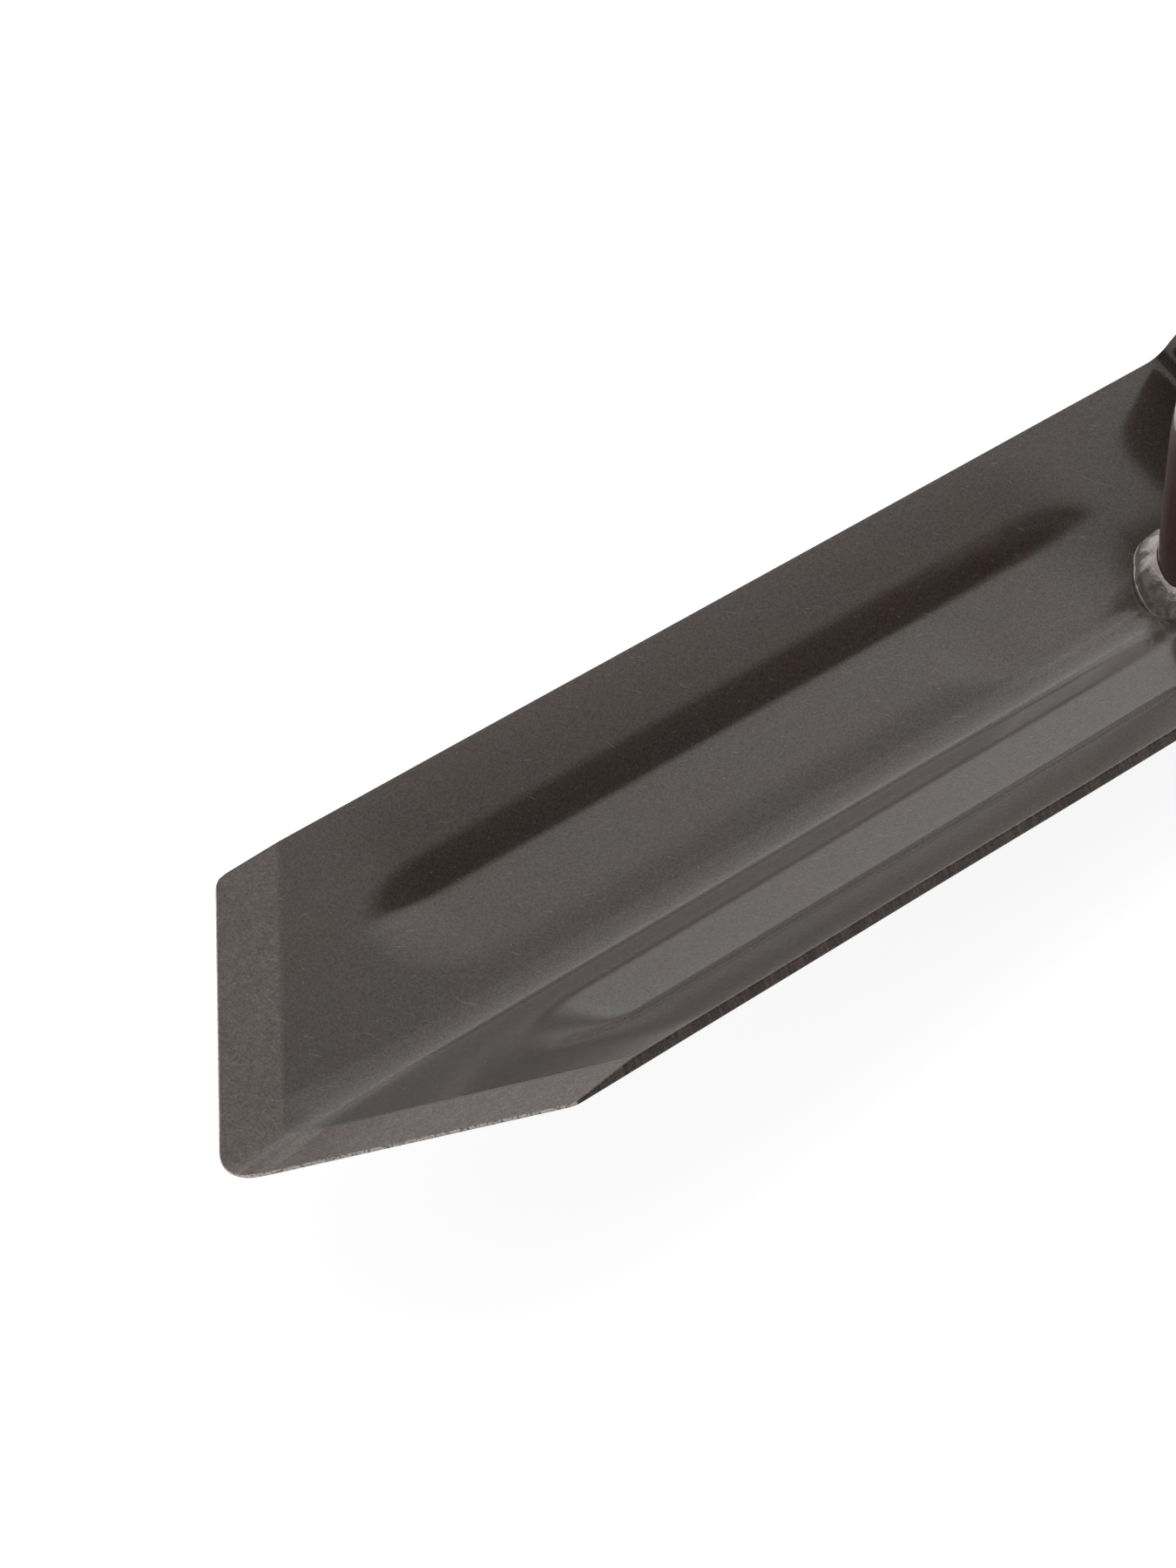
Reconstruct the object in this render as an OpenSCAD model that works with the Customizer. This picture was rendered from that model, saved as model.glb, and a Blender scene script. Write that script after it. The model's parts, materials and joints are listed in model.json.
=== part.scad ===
// Trenching spade: a folded and fluted steel blade with turned-up foot treads, a bent tube
// neck welded into the fold, a riveted socket, an ash shaft and a strapped hand grip.
// The spade lies as it rests on the ground: on the heel of the blade and on the grip.

/* [Blade] */
// Overall width across the two flanges
blade_w = 120; // [90:1:160]
// Length from the point to the bend of the foot treads
blade_len = 400; // [280:1:450]
// Thickness of the steel sheet
sheet_t = 3; // [2:0.1:4]
// Angle between the two flanges
open_angle = 130; // [110:1:150]
// Inner radius of the fold along the middle
fold_r = 8; // [5:0.5:14]
// Angle by which each end edge sweeps back from the point
tip_sweep = 42.6; // [25:0.1:50]
// Radius of the rounded point
point_r = 9; // [5:0.5:14]
// Radius of the outer corner at each end edge
corner_r = 6; // [3:0.5:12]
// Width of the ground bevel, square to the cutting edge
bevel_w = 15.5; // [8:0.5:24]
// Thickness left at the cutting edge
edge_t = 0.8; // [0.2:0.1:1]

/* [Flutes] */
// Width of the flute pressed into each flange
flute_w = 35; // [20:1:36]
// Depth of the flutes
flute_depth = 2.6; // [1:0.1:3.5]
// Distance from the point of the blade to the front of the flutes
flute_start = 74; // [70:1:120]
// Length of the rounded ends of a flute
flute_nose = 30; // [10:1:40]
// Distance from the rear of the flutes to the centre of the neck tube
flute_tail = 3.5; // [2:0.5:20]

/* [Foot treads] */
// Inner radius of the bend from flange to tread
tread_r = 5.5; // [4:0.5:10]
// Height of the tread above the flange's outer face
tread_h = 38; // [16:0.5:45]
// Radius of the tread's free corners
tread_corner_r = 8; // [2:0.5:12]
// Gap between the tops of the two treads
tread_gap = 8.5; // [4:0.5:20]

/* [Neck] */
// Outer diameter of the neck tube
neck_d = 25; // [20:0.5:32]
// Wall of the neck tube
neck_wall = 2.5; // [1.5:0.1:4]
// Distance from the centre of the tube to the bend of the treads
neck_setback = 44.5; // [34:0.5:80]
// Height at which the straight stub ends and the bend begins
neck_rise = 50; // [40:1:90]
// Centreline radius of the bend
neck_bend_r = 50; // [40:1:90]
// Straight tube that shows between the bend and the socket
neck_run = 20; // [10:1:60]
// Reach of the neck weld over the blade
weld_leg = 6; // [4:0.5:8]
// Height of the neck weld up the tube
weld_rise = 8; // [5:0.5:10]
// Depth of the ripples in the neck weld
weld_ripple = 0.35; // [0.1:0.05:0.6]

/* [Socket] */
// Length of the socket
socket_len = 140; // [120:1:180]
// Wall of the socket
socket_wall = 2.2; // [1.5:0.1:3]
// Length of neck tube inside the socket
neck_grip = 30; // [20:1:40]
// Size of the weld bead at the front of the socket
socket_weld_r = 3.2; // [2:0.1:4.5]
// Diameter of the socket rivets
socket_rivet_d = 6; // [4:0.5:8]
// Distance from the mouth of the socket to the rear rivet
rivet_margin = 20; // [15:1:30]
// Distance between the two socket rivets
rivet_pitch = 32; // [20:1:40]

/* [Shaft] */
// Diameter of the shaft
shaft_d = 36; // [32:0.5:42]
// Bare shaft that shows between the socket and the yoke
shaft_show = 400; // [250:5:600]
// Diameter of the shaft's end inside the yoke
shaft_end_d = 31; // [26:0.5:32]
// Length over which the shaft tapers in front of the yoke
shaft_taper = 110; // [60:5:200]
// Bevel of the shaft's end
shaft_bevel = 3; // [1:0.5:5]

/* [Grip] */
// Length of the yoke that hugs the shaft
ferrule_len = 75; // [60:1:100]
// Thickness of the yoke's steel
strap_t = 2.5; // [1.5:0.1:4]
// Width of each arm of the yoke at its waist
strap_w = 25; // [20:1:32]
// Clear width between the arms at the bar
grip_w = 122; // [100:1:140]
// Clear space between the shaft's end and the bar
hand_gap = 66; // [50:1:90]
// Diameter of the round ear that holds each end of the bar
ear_d = 38; // [35:1:48]
// Thickness of the bar in the middle
bar_d = 33; // [28:0.5:34]
// Thickness of the bar at its ends
bar_end_d = 28; // [24:0.5:28]
// Diameter of the rod through the bar
rod_d = 8; // [6:0.5:10]
// Diameter of the washers under the rod's heads
washer_d = 20; // [18:1:26]
// Thickness of the washers
washer_t = 1.5; // [1:0.1:2.5]
// Diameter of the rod's domed heads
rod_head_d = 15; // [13:0.5:17]
// Height of the rod's domed heads
rod_head_h = 4.5; // [3:0.5:6]
// Diameter of the yoke rivets
yoke_rivet_d = 5; // [4:0.5:6]
// Distance from each end of the ferrule to its rivet
yoke_rivet_margin = 18; // [12:1:24]

/* [Fits] */
// Gap between pieces that are seated or welded together
seat_gap = 0.2; // [0.1:0.05:0.4]
// Gap round a rivet or rod in its hole
pin_gap = 0.1; // [0.05:0.05:0.2]

/* [Hidden] */
$fn = 96;
// Overlap that joins two shapes of one solid
eps = 0.01;
// Facets of the wide circle that the bar's barrel is cut from
fine_fn = 1440;
arc_steps = 12;

// Fold of the blade: half the angle between the flanges, measured from straight up
half_open = open_angle / 2;
flange_tilt = 90 - half_open;
flange_w = blade_w / 2 / sin(half_open);
fold_outer_r = fold_r + sheet_t;
fold_centre_z = fold_outer_r / sin(half_open);
keel_z = fold_centre_z - fold_outer_r;
tip_x = point_r * (1 / cos(tip_sweep) - 1);
shoulder_x = blade_w / 2 * tan(tip_sweep);
edge_angle = atan(tan(tip_sweep) * sin(half_open));
bevel_angle = atan((sheet_t - edge_t) / bevel_w);

// Flutes midway between the fold and the edge: straight flanks run to a rounded bottom
flute_u = (fold_outer_r / tan(half_open) + flange_w) / 2;
flute_front = flute_start + flute_nose;
flute_rear = blade_len - neck_setback - flute_tail - flute_nose;
flute_round = 3.5;
flute_floor = 1.2;
flute_rise = 0.5;
flute_apex = flute_depth / (1 - flute_round / flute_w);
flute_slope = flute_apex / (flute_w / 2);

tread_start = (tread_gap / 2 + tread_h * cos(half_open)) / sin(half_open);
// The bend thins the tread: its faces lie this far inside the sheet's own
tread_thin = 0.03;
tread_lap = 2;
tread_face_x = blade_len + tread_r + sheet_t - tread_thin;

// The neck weld: rings round the tube, points over its rounded face, and ripples
weld_stations = 96;
weld_sides = 6;
weld_ripples = 24;

// Neck, socket and shaft along the tool
neck_r = neck_d / 2;
neck_x = blade_len - neck_setback;
axis_z = neck_rise + neck_bend_r;
bend_end_x = neck_x + neck_bend_r;
socket_x = bend_end_x + neck_run;
socket_end_x = socket_x + socket_len;
collar_r = neck_r + seat_gap;
mouth_r = shaft_d / 2 + seat_gap;
shaft_stop = 3;
shaft_nose_x = socket_x + neck_grip + shaft_stop;
front_rivet_x = socket_end_x - rivet_margin - rivet_pitch;
rear_rivet_x = socket_end_x - rivet_margin;
rivet_head_ratio = 1.9;
rivet_head_rise = 0.5;

// Yoke and bar
ferrule_x = socket_end_x + shaft_show;
crotch_x = ferrule_x + ferrule_len;
bar_x = crotch_x + hand_gap + bar_d / 2;
ear_r = ear_d / 2;
washer_land = 3;
ear_flat = washer_d / 2 + washer_land;
flare_end_x = bar_x - ear_flat;
ferrule_r = shaft_end_d / 2 + seat_gap;
ferrule_mid_r = ferrule_r + strap_t / 2;
ferrule_half_angle = 80;
// Place along the flare where an arm is down to its waist, and how flat it ends
waist_at = 0.5;
arm_flatness = 0.98;
arm_y = grip_w / 2 + strap_t / 2;
flare_steps = 22;
section_steps = 12;
bar_half = grip_w / 2 - seat_gap;

// How the spade lies: heel and ears touch the ground at the same level
reach = bar_x - blade_len;
drop = axis_z - keel_z;
rest_tilt = atan2(drop, reach) - asin(ear_r / norm([reach, drop]));
lift = blade_len * sin(rest_tilt) - keel_z * cos(rest_tilt);
front_x = tip_x * cos(rest_tilt) + keel_z * sin(rest_tilt);
back_x = bar_x * cos(rest_tilt) + axis_z * sin(rest_tilt) + ear_r;
middle_x = (front_x + back_x) / 2;

// Puts a piece from the tool's own axes into the resting frame
module at_rest() {
    translate([-middle_x, 0, lift]) rotate([0, rest_tilt, 0]) children();
}

// Turns a shape drawn across the blade into a bar along it
module along_blade(x0, x1) {
    translate([x0, 0, 0]) rotate([90, 0, 90]) linear_extrude(height = x1 - x0) children();
}

// Places a turned shape on the axis of the shaft
module on_axis(x) {
    translate([x, 0, axis_z]) rotate([0, 90, 0]) children();
}

// Places a cylinder's axis across the tool, at a place along it
module across(x) {
    translate([x, 0, axis_z]) rotate([-90, 0, 0]) children();
}

// Height of the blade's inner face at a distance from the middle
function inner_z(y) = abs(y) < fold_r * cos(half_open)
    ? fold_centre_z - sqrt(fold_r * fold_r - y * y)
    : abs(y) / tan(half_open) + sheet_t / sin(half_open);

// A point across the blade: u along the flange, n square to it
function flange_point(u, n) = [
    u * sin(half_open) - n * cos(half_open),
    u * cos(half_open) + n * sin(half_open)
];

function blend(a, b, t) = a + (b - a) * t;

// Points along an arc
function arc(centre, r, from, to) = [for (i = [0:arc_steps])
    let (a = blend(from, to, i / arc_steps))
    [centre[0] + r * cos(a), centre[1] + r * sin(a)]];

// A rounded corner of an outline: facing points inwards, half is half the corner's angle
function rounded(corner, r, facing, half) =
    let (centre = corner + r / sin(half) * [cos(facing), sin(facing)])
    arc(centre, r, facing + 90 + half, facing + 270 - half);

// Everything below the face that lies n above the outer face of the folded sheet
module below_face(n) {
    far = blade_w;
    far_z = n / sin(half_open) + far / tan(half_open);
    polygon(concat(
        [[-far, -blade_w], [far, -blade_w], [far, far_z]],
        arc([0, fold_centre_z], fold_outer_r - n, -half_open, half_open - 180),
        [[-far, far_z]]
    ));
}

// The folded sheet in cross-section, its edges square to the flanges
module sheet_section() {
    above = flange_point(flange_w, flange_w);
    below = flange_point(flange_w, -blade_w);
    intersection() {
        difference() {
            below_face(sheet_t);
            below_face(0);
        }
        polygon([[0, blade_w * 2], [-above[0], above[1]], [-below[0], below[1]], below, above]);
    }
}

// Outline of the blade from above, with its swept end edges and rounded corners
module blade_outline() {
    half = (90 + tip_sweep) / 2;
    polygon(concat(
        [[blade_len, -blade_w / 2], [blade_len, blade_w / 2]],
        rounded([shoulder_x, blade_w / 2], corner_r, -half, half),
        rounded([0, 0], point_r, 0, 90 - tip_sweep),
        rounded([shoulder_x, -blade_w / 2], corner_r, half, half)
    ));
}

// Space above one flange's ground bevel
module above_bevel(side) {
    span = blade_w * 2;
    mirror([0, side < 0 ? 1 : 0, 0])
        rotate([flange_tilt, 0, 0])
            rotate([0, 0, -edge_angle])
                translate([0, 0, edge_t])
                    rotate([0, -bevel_angle, 0])
                        translate([-span, -span, 0])
                            cube([span * 2, span * 2, span]);
}

// Outline of a flute at one height above the flange's outer face
function flute_outline(half, n) =
    let (nose = flute_nose * half / (flute_w / 2))
    concat(
        [for (i = [0:arc_steps]) let (a = blend(90, 270, i / arc_steps))
            [flute_front + nose * cos(a), flute_u + half * sin(a), n]],
        [for (i = [0:arc_steps]) let (a = blend(-90, 90, i / arc_steps))
            [flute_rear + nose * cos(a), flute_u + half * sin(a), n]]
    );

// The space of a flute below a face of the flange at height n, and a little above it
module flute(side, n) {
    rings = concat(
        flute_outline(flute_w / 2 + flute_rise / flute_slope, n + flute_rise),
        flute_outline(flute_round, n + flute_slope * flute_round - flute_apex),
        flute_outline(flute_floor, n - flute_depth
            + flute_slope * flute_floor * flute_floor / (2 * flute_round))
    );
    mirror([0, side < 0 ? 1 : 0, 0]) rotate([flange_tilt, 0, 0])
        polyhedron(points = rings, faces = ring_faces(3, arc_steps * 2 + 2, false));
}

// Side view of a turned-up tread, with the strip by which it runs into the flange
module tread_side() {
    centre = [blade_len, sheet_t + tread_r];
    outer_r = tread_r + sheet_t - tread_thin;
    inner_r = tread_r + tread_thin;
    polygon(concat(
        [[blade_len - tread_lap, tread_thin]],
        arc(centre, outer_r, -90, 0),
        [[tread_face_x, tread_h], [blade_len + inner_r, tread_h]],
        arc(centre, inner_r, 0, -90),
        [[blade_len - tread_lap, sheet_t - tread_thin]]
    ));
}

// Rear view of a tread on its flange, with its free corners rounded
module tread_rear() {
    outer_u = flange_w - tread_thin;
    polygon(concat(
        [[tread_start, -sheet_t], [outer_u, -sheet_t]],
        rounded([outer_u, tread_h], tread_corner_r, -135, 45),
        rounded([tread_start, tread_h], tread_corner_r, -45, 45)
    ));
}

module tread(side) {
    mirror([0, side < 0 ? 1 : 0, 0]) rotate([flange_tilt, 0, 0]) intersection() {
        translate([0, blade_w, 0]) rotate([90, 0, 0]) linear_extrude(height = blade_w) tread_side();
        along_blade(blade_len - tread_h, blade_len + tread_h * 2) tread_rear();
    }
}

module blade() {
    color("#4d4744") at_rest() {
        difference() {
            union() {
                intersection() {
                    along_blade(0, blade_len) sheet_section();
                    translate([0, 0, -blade_w])
                        linear_extrude(height = blade_w * 2) blade_outline();
                }
                flute(1, 0);
                flute(-1, 0);
            }
            flute(1, sheet_t);
            flute(-1, sheet_t);
            intersection() {
                above_bevel(1);
                above_bevel(-1);
                translate([0, -blade_w, -blade_w])
                    cube([shoulder_x + bevel_w * 2, blade_w * 2, blade_w * 2]);
            }
        }
        tread(1);
        tread(-1);
    }
}

module tube_ring() {
    difference() {
        circle(r = neck_r);
        circle(r = neck_r - neck_wall);
    }
}

module neck_tube() {
    color("#3f3733") at_rest() {
        difference() {
            translate([neck_x, 0, 0]) linear_extrude(height = neck_rise) tube_ring();
            along_blade(neck_x - neck_d, neck_x + neck_d) below_face(sheet_t + seat_gap);
        }
        translate([bend_end_x, 0, neck_rise]) rotate([90, 0, 0]) rotate([0, 0, 90])
            rotate_extrude(angle = 90) translate([neck_bend_r, 0]) tube_ring();
        on_axis(bend_end_x) linear_extrude(height = neck_run + neck_grip) tube_ring();
    }
}

// The neck weld follows the fold round the tube, with the ripples of a laid bead
function weld_swell(a) = 1 + weld_ripple / weld_leg * sin(weld_ripples * a);
function weld_point(a, out, up) =
    let (r = neck_r + seat_gap + out * weld_swell(a), y = r * sin(a))
    [neck_x + r * cos(a), y, inner_z(y) + seat_gap + up * weld_swell(a)];
function weld_ring(a) = concat(
    [weld_point(a, 0, 0), weld_point(a, weld_leg / 2, 0)],
    [for (i = [0:weld_sides])
        weld_point(a, weld_leg * cos(i * 90 / weld_sides), weld_rise * sin(i * 90 / weld_sides))]
);

// Flat caps for C-shaped rings, in steps across the C so that no face spans its mouth
function stepped_caps(rings, n) =
    [for (j = [0:n / 2 - 2])
        let (a = j, b = j + 1, c = n - 2 - j, d = n - 1 - j, far = (rings - 1) * n)
        each [[d, c, b], [d, b, a], [far + a, far + b, far + c], [far + a, far + c, far + d]]];

// Faces of a tube of rings: closed on itself, or with a flat cap at each end
function ring_faces(rings, n, closed, stepped = false) = concat(
    [for (i = [0:rings - (closed ? 1 : 2)]) for (j = [0:n - 1]) for (half = [0, 1])
        let (
            a = i * n + j,
            b = i * n + (j + 1) % n,
            c = ((i + 1) % rings) * n + (j + 1) % n,
            d = ((i + 1) % rings) * n + j
        )
        half == 0 ? [a, b, c] : [a, c, d]],
    closed ? [] : stepped ? stepped_caps(rings, n)
        : [[for (j = [n - 1:-1:0]) j], [for (j = [0:n - 1]) (rings - 1) * n + j]]
);

module neck_weld() {
    ring_n = weld_sides + 3;
    points = [for (i = [0:weld_stations - 1]) each weld_ring(i * 360 / weld_stations)];
    color("#8d837c") at_rest()
        polyhedron(points = points, faces = ring_faces(weld_stations, ring_n, true));
}

// Half side view of the socket's outer face, a collar and then a cone to the mouth,
// with an allowance on its radius
function socket_face(extra) = [
    [collar_r + socket_wall + extra, 0],
    [collar_r + socket_wall + extra, neck_grip],
    [mouth_r + socket_wall + extra, socket_len]
];

// Holes across the tool for rivets or a rod
module cross_hole(x, d) {
    across(x) cylinder(r = d / 2 + pin_gap, h = grip_w * 2, center = true);
}

// Radius of the cone inside the socket at a place along the tool
function cone_r(x) = collar_r
    + (mouth_r - collar_r) * (x - socket_x - neck_grip) / (socket_len - neck_grip);

module socket() {
    color("#45403d") at_rest() difference() {
        on_axis(socket_x) rotate_extrude() polygon(concat(
            [[collar_r, 0]],
            socket_face(0),
            [[mouth_r, socket_len], [collar_r, neck_grip]]
        ));
        cross_hole(front_rivet_x, socket_rivet_d);
        cross_hole(rear_rivet_x, socket_rivet_d);
    }
}

module socket_weld() {
    color("#8d837c") at_rest() on_axis(socket_x) rotate_extrude() intersection() {
        translate([collar_r, -seat_gap]) circle(r = socket_weld_r);
        translate([collar_r, -seat_gap - socket_weld_r]) square([socket_weld_r, socket_weld_r]);
    }
}

// A rivet across the tool: shank and two domed heads that start at half from the middle
module cross_rivet(x, d, half) {
    head_r = d * rivet_head_ratio / 2;
    head_h = d * rivet_head_rise;
    dome_r = (head_r * head_r + head_h * head_h) / (2 * head_h);
    skirt = head_r;
    across(x) {
        cylinder(r = d / 2, h = half * 2, center = true);
        for (side = [0, 1]) mirror([0, 0, side]) {
            translate([0, 0, half - skirt]) cylinder(r = head_r, h = skirt);
            intersection() {
                translate([0, 0, half + head_h - dome_r]) sphere(r = dome_r);
                translate([0, 0, half - eps]) cylinder(r = head_r, h = head_h * 2);
            }
        }
    }
}

// A rivet's shank, which runs just into the heads on a round surface
module rivet_shank(x, d, surface_r) {
    across(x) cylinder(r = d / 2, h = (surface_r + seat_gap * 2) * 2, center = true);
}

// A socket rivet, its heads cut to sit on the cone
module socket_rivet(x) {
    surface_r = cone_r(x) + socket_wall;
    color("#6f6964") at_rest() {
        difference() {
            cross_rivet(x, socket_rivet_d, surface_r + seat_gap);
            on_axis(socket_x) rotate_extrude()
                polygon(concat([[0, 0]], socket_face(seat_gap), [[0, socket_len]]));
        }
        rivet_shank(x, socket_rivet_d, surface_r);
    }
}

module socket_rivet_front() {
    socket_rivet(front_rivet_x);
}

module socket_rivet_rear() {
    socket_rivet(rear_rivet_x);
}

module shaft() {
    color("#c9a36b") at_rest() difference() {
        on_axis(0) rotate_extrude() polygon([
            [0, shaft_nose_x],
            [cone_r(shaft_nose_x) - seat_gap, shaft_nose_x],
            [shaft_d / 2, socket_end_x],
            [shaft_d / 2, ferrule_x - shaft_taper],
            [shaft_end_d / 2, ferrule_x - seat_gap],
            [shaft_end_d / 2, crotch_x - shaft_bevel],
            [shaft_end_d / 2 - shaft_bevel, crotch_x],
            [0, crotch_x]
        ]);
        cross_hole(front_rivet_x, socket_rivet_d);
        cross_hole(rear_rivet_x, socket_rivet_d);
        cross_hole(ferrule_x + yoke_rivet_margin, yoke_rivet_d);
        cross_hole(crotch_x - yoke_rivet_margin, yoke_rivet_d);
    }
}

// One half of the yoke is swept from a half-round ferrule into a flat arm
function ease(t) = t * t * (3 - 2 * t);
function arm_mid_y(t) = blend(ferrule_mid_r, arm_y, ease(t));
function arm_angle(t) = atan((arm_y - ferrule_mid_r) * 6 * t * (1 - t) / (flare_end_x - crotch_x));
function arm_half_w(t) =
    blend(ferrule_mid_r * sin(ferrule_half_angle), strap_w / 2, ease(min(1, t / waist_at)));
function arm_curve_r(t) = ferrule_mid_r / pow(1 - t * arm_flatness, 2);
function arm_section(x, y, angle, half_w, r) =
    let (reach_angle = asin(half_w / r))
    [for (k = [0:section_steps * 2 + 1])
        let (
            inner = k > section_steps,
            step = inner ? section_steps * 2 + 1 - k : k,
            a = reach_angle * (1 - 2 * step / section_steps),
            rho = r + (inner ? -1 : 1) * strap_t / 2,
            n = rho * cos(a) - r
        )
        [x - n * sin(angle), y + n * cos(angle), axis_z + rho * sin(a)]];

module yoke_half() {
    ring_n = section_steps * 2 + 2;
    flare = [for (i = [0:flare_steps])
        let (t = i / flare_steps)
        arm_section(blend(crotch_x, flare_end_x, t), arm_mid_y(t), arm_angle(t), arm_half_w(t),
            arm_curve_r(t))];
    rings = concat(
        [arm_section(ferrule_x, ferrule_mid_r, 0, arm_half_w(0), ferrule_mid_r)],
        flare
    );
    points = [for (ring = rings) each ring];
    difference() {
        union() {
            polyhedron(points = points, faces = ring_faces(len(rings), ring_n, false, true));
            translate([flare_end_x - eps, grip_w / 2, axis_z - strap_w / 2])
                cube([ear_flat, strap_t, strap_w]);
            translate([0, arm_y, 0]) across(bar_x)
                cylinder(r = ear_r, h = strap_t, center = true);
        }
        cross_hole(bar_x, rod_d);
        cross_hole(ferrule_x + yoke_rivet_margin, yoke_rivet_d);
        cross_hole(crotch_x - yoke_rivet_margin, yoke_rivet_d);
    }
}

module yoke_left() {
    color("#45403d") at_rest() yoke_half();
}

module yoke_right() {
    color("#45403d") at_rest() mirror([0, 1, 0]) yoke_half();
}

// A yoke rivet, its heads cut to sit on the round of the ferrule
module yoke_rivet(x) {
    surface_r = ferrule_r + strap_t;
    color("#6f6964") at_rest() {
        difference() {
            cross_rivet(x, yoke_rivet_d, surface_r + seat_gap);
            on_axis(x - strap_w) cylinder(r = surface_r + seat_gap, h = strap_w * 2);
        }
        rivet_shank(x, yoke_rivet_d, surface_r);
    }
}

module yoke_rivet_front() {
    yoke_rivet(ferrule_x + yoke_rivet_margin);
}

module yoke_rivet_rear() {
    yoke_rivet(crotch_x - yoke_rivet_margin);
}

// The bar is a turned barrel, bored for the rod
module grip_bar() {
    crown = (bar_d - bar_end_d) / 2;
    barrel_r = (bar_half * bar_half + crown * crown) / (2 * crown);
    color("#c9a36b") at_rest() across(bar_x) rotate_extrude() intersection() {
        translate([bar_d / 2 - barrel_r, 0]) circle(r = barrel_r, $fn = fine_fn);
        translate([rod_d / 2 + pin_gap, -bar_half])
            square([bar_d / 2 - rod_d / 2, bar_half * 2]);
    }
}

module grip_rod() {
    seat = grip_w / 2 + strap_t + washer_t + seat_gap * 2;
    head_r = rod_head_d / 2;
    dome_r = (head_r * head_r + rod_head_h * rod_head_h) / (2 * rod_head_h);
    color("#6f6964") at_rest() across(bar_x) {
        cylinder(r = rod_d / 2, h = seat * 2, center = true);
        for (side = [0, 1]) mirror([0, 0, side]) intersection() {
            translate([0, 0, seat + rod_head_h - dome_r]) sphere(r = dome_r);
            translate([0, 0, seat]) cylinder(r = head_r, h = rod_head_h * 2);
        }
    }
}

module grip_washer(side) {
    color("#6f6964") at_rest() mirror([0, side < 0 ? 1 : 0, 0])
        translate([0, grip_w / 2 + strap_t + seat_gap, 0]) across(bar_x)
            linear_extrude(height = washer_t) difference() {
                circle(r = washer_d / 2);
                circle(r = rod_d / 2 + pin_gap);
            }
}

module grip_washer_left() {
    grip_washer(1);
}

module grip_washer_right() {
    grip_washer(-1);
}

blade();
neck_tube();
neck_weld();
socket();
socket_weld();
socket_rivet_front();
socket_rivet_rear();
shaft();
yoke_left();
yoke_right();
yoke_rivet_front();
yoke_rivet_rear();
grip_bar();
grip_rod();
grip_washer_left();
grip_washer_right();
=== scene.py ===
import json
import math
from types import SimpleNamespace

import bmesh
import bpy
import numpy as np
from mathutils import Matrix, Vector


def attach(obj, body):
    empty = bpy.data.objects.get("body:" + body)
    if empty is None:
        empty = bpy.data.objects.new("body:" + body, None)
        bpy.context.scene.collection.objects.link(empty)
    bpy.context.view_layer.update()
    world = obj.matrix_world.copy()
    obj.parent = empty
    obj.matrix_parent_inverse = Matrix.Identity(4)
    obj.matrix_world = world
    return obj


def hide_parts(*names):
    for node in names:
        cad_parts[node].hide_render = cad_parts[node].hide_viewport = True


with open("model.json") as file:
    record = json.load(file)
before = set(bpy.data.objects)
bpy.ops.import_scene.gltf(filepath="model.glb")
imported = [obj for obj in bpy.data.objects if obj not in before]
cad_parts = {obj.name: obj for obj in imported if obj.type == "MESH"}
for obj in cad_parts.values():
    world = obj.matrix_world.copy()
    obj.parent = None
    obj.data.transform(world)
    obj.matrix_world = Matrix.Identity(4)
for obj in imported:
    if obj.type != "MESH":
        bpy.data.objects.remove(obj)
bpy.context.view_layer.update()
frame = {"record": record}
print("frame loaded")

# The spade is built along its own axes in millimetres: x from the point of the blade
# towards the grip, y across, z out of the hollow side. The mounts say how it lies.
spade = {
    "axisHeight": 100.0,      # centre of the shaft above the fold
    "barAt": 1123.0,          # centre of the hand bar
    "neckAt": 355.5,          # centre of the neck tube at the blade
    "socketAt": 425.5,        # front of the socket
    "socketEnd": 565.5,       # mouth of the socket
    "ferruleAt": 965.5,       # front of the yoke
    "shaftEnd": 1040.5,       # rear end of the shaft
    "gap": 0.2,               # between seated pieces
}
mounts = {mount["name"]: mount for mount in frame["record"]["mounts"]}
along = Vector(mounts["tread_left"]["axis"]).normalized()
upward = Vector((-along.z, 0, along.x))
millimetre = 0.001
toolAxes = Matrix((along, Vector((0, 1, 0)), upward)).transposed()
barCentre = Vector(mounts["grip_hook"]["pos_m"])
toolOrigin = barCentre - toolAxes @ Vector((spade["barAt"], 0, spade["axisHeight"])) * millimetre
atRest = Matrix.Translation(toolOrigin) @ toolAxes.to_4x4() @ Matrix.Scale(millimetre, 4)


def arithmetic(operation, swapped=False):
    # An operator of Wire, which makes a maths node
    def combine(self, other):
        return self.math(operation, *((other, self) if swapped else (self, other)))
    return combine


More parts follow.
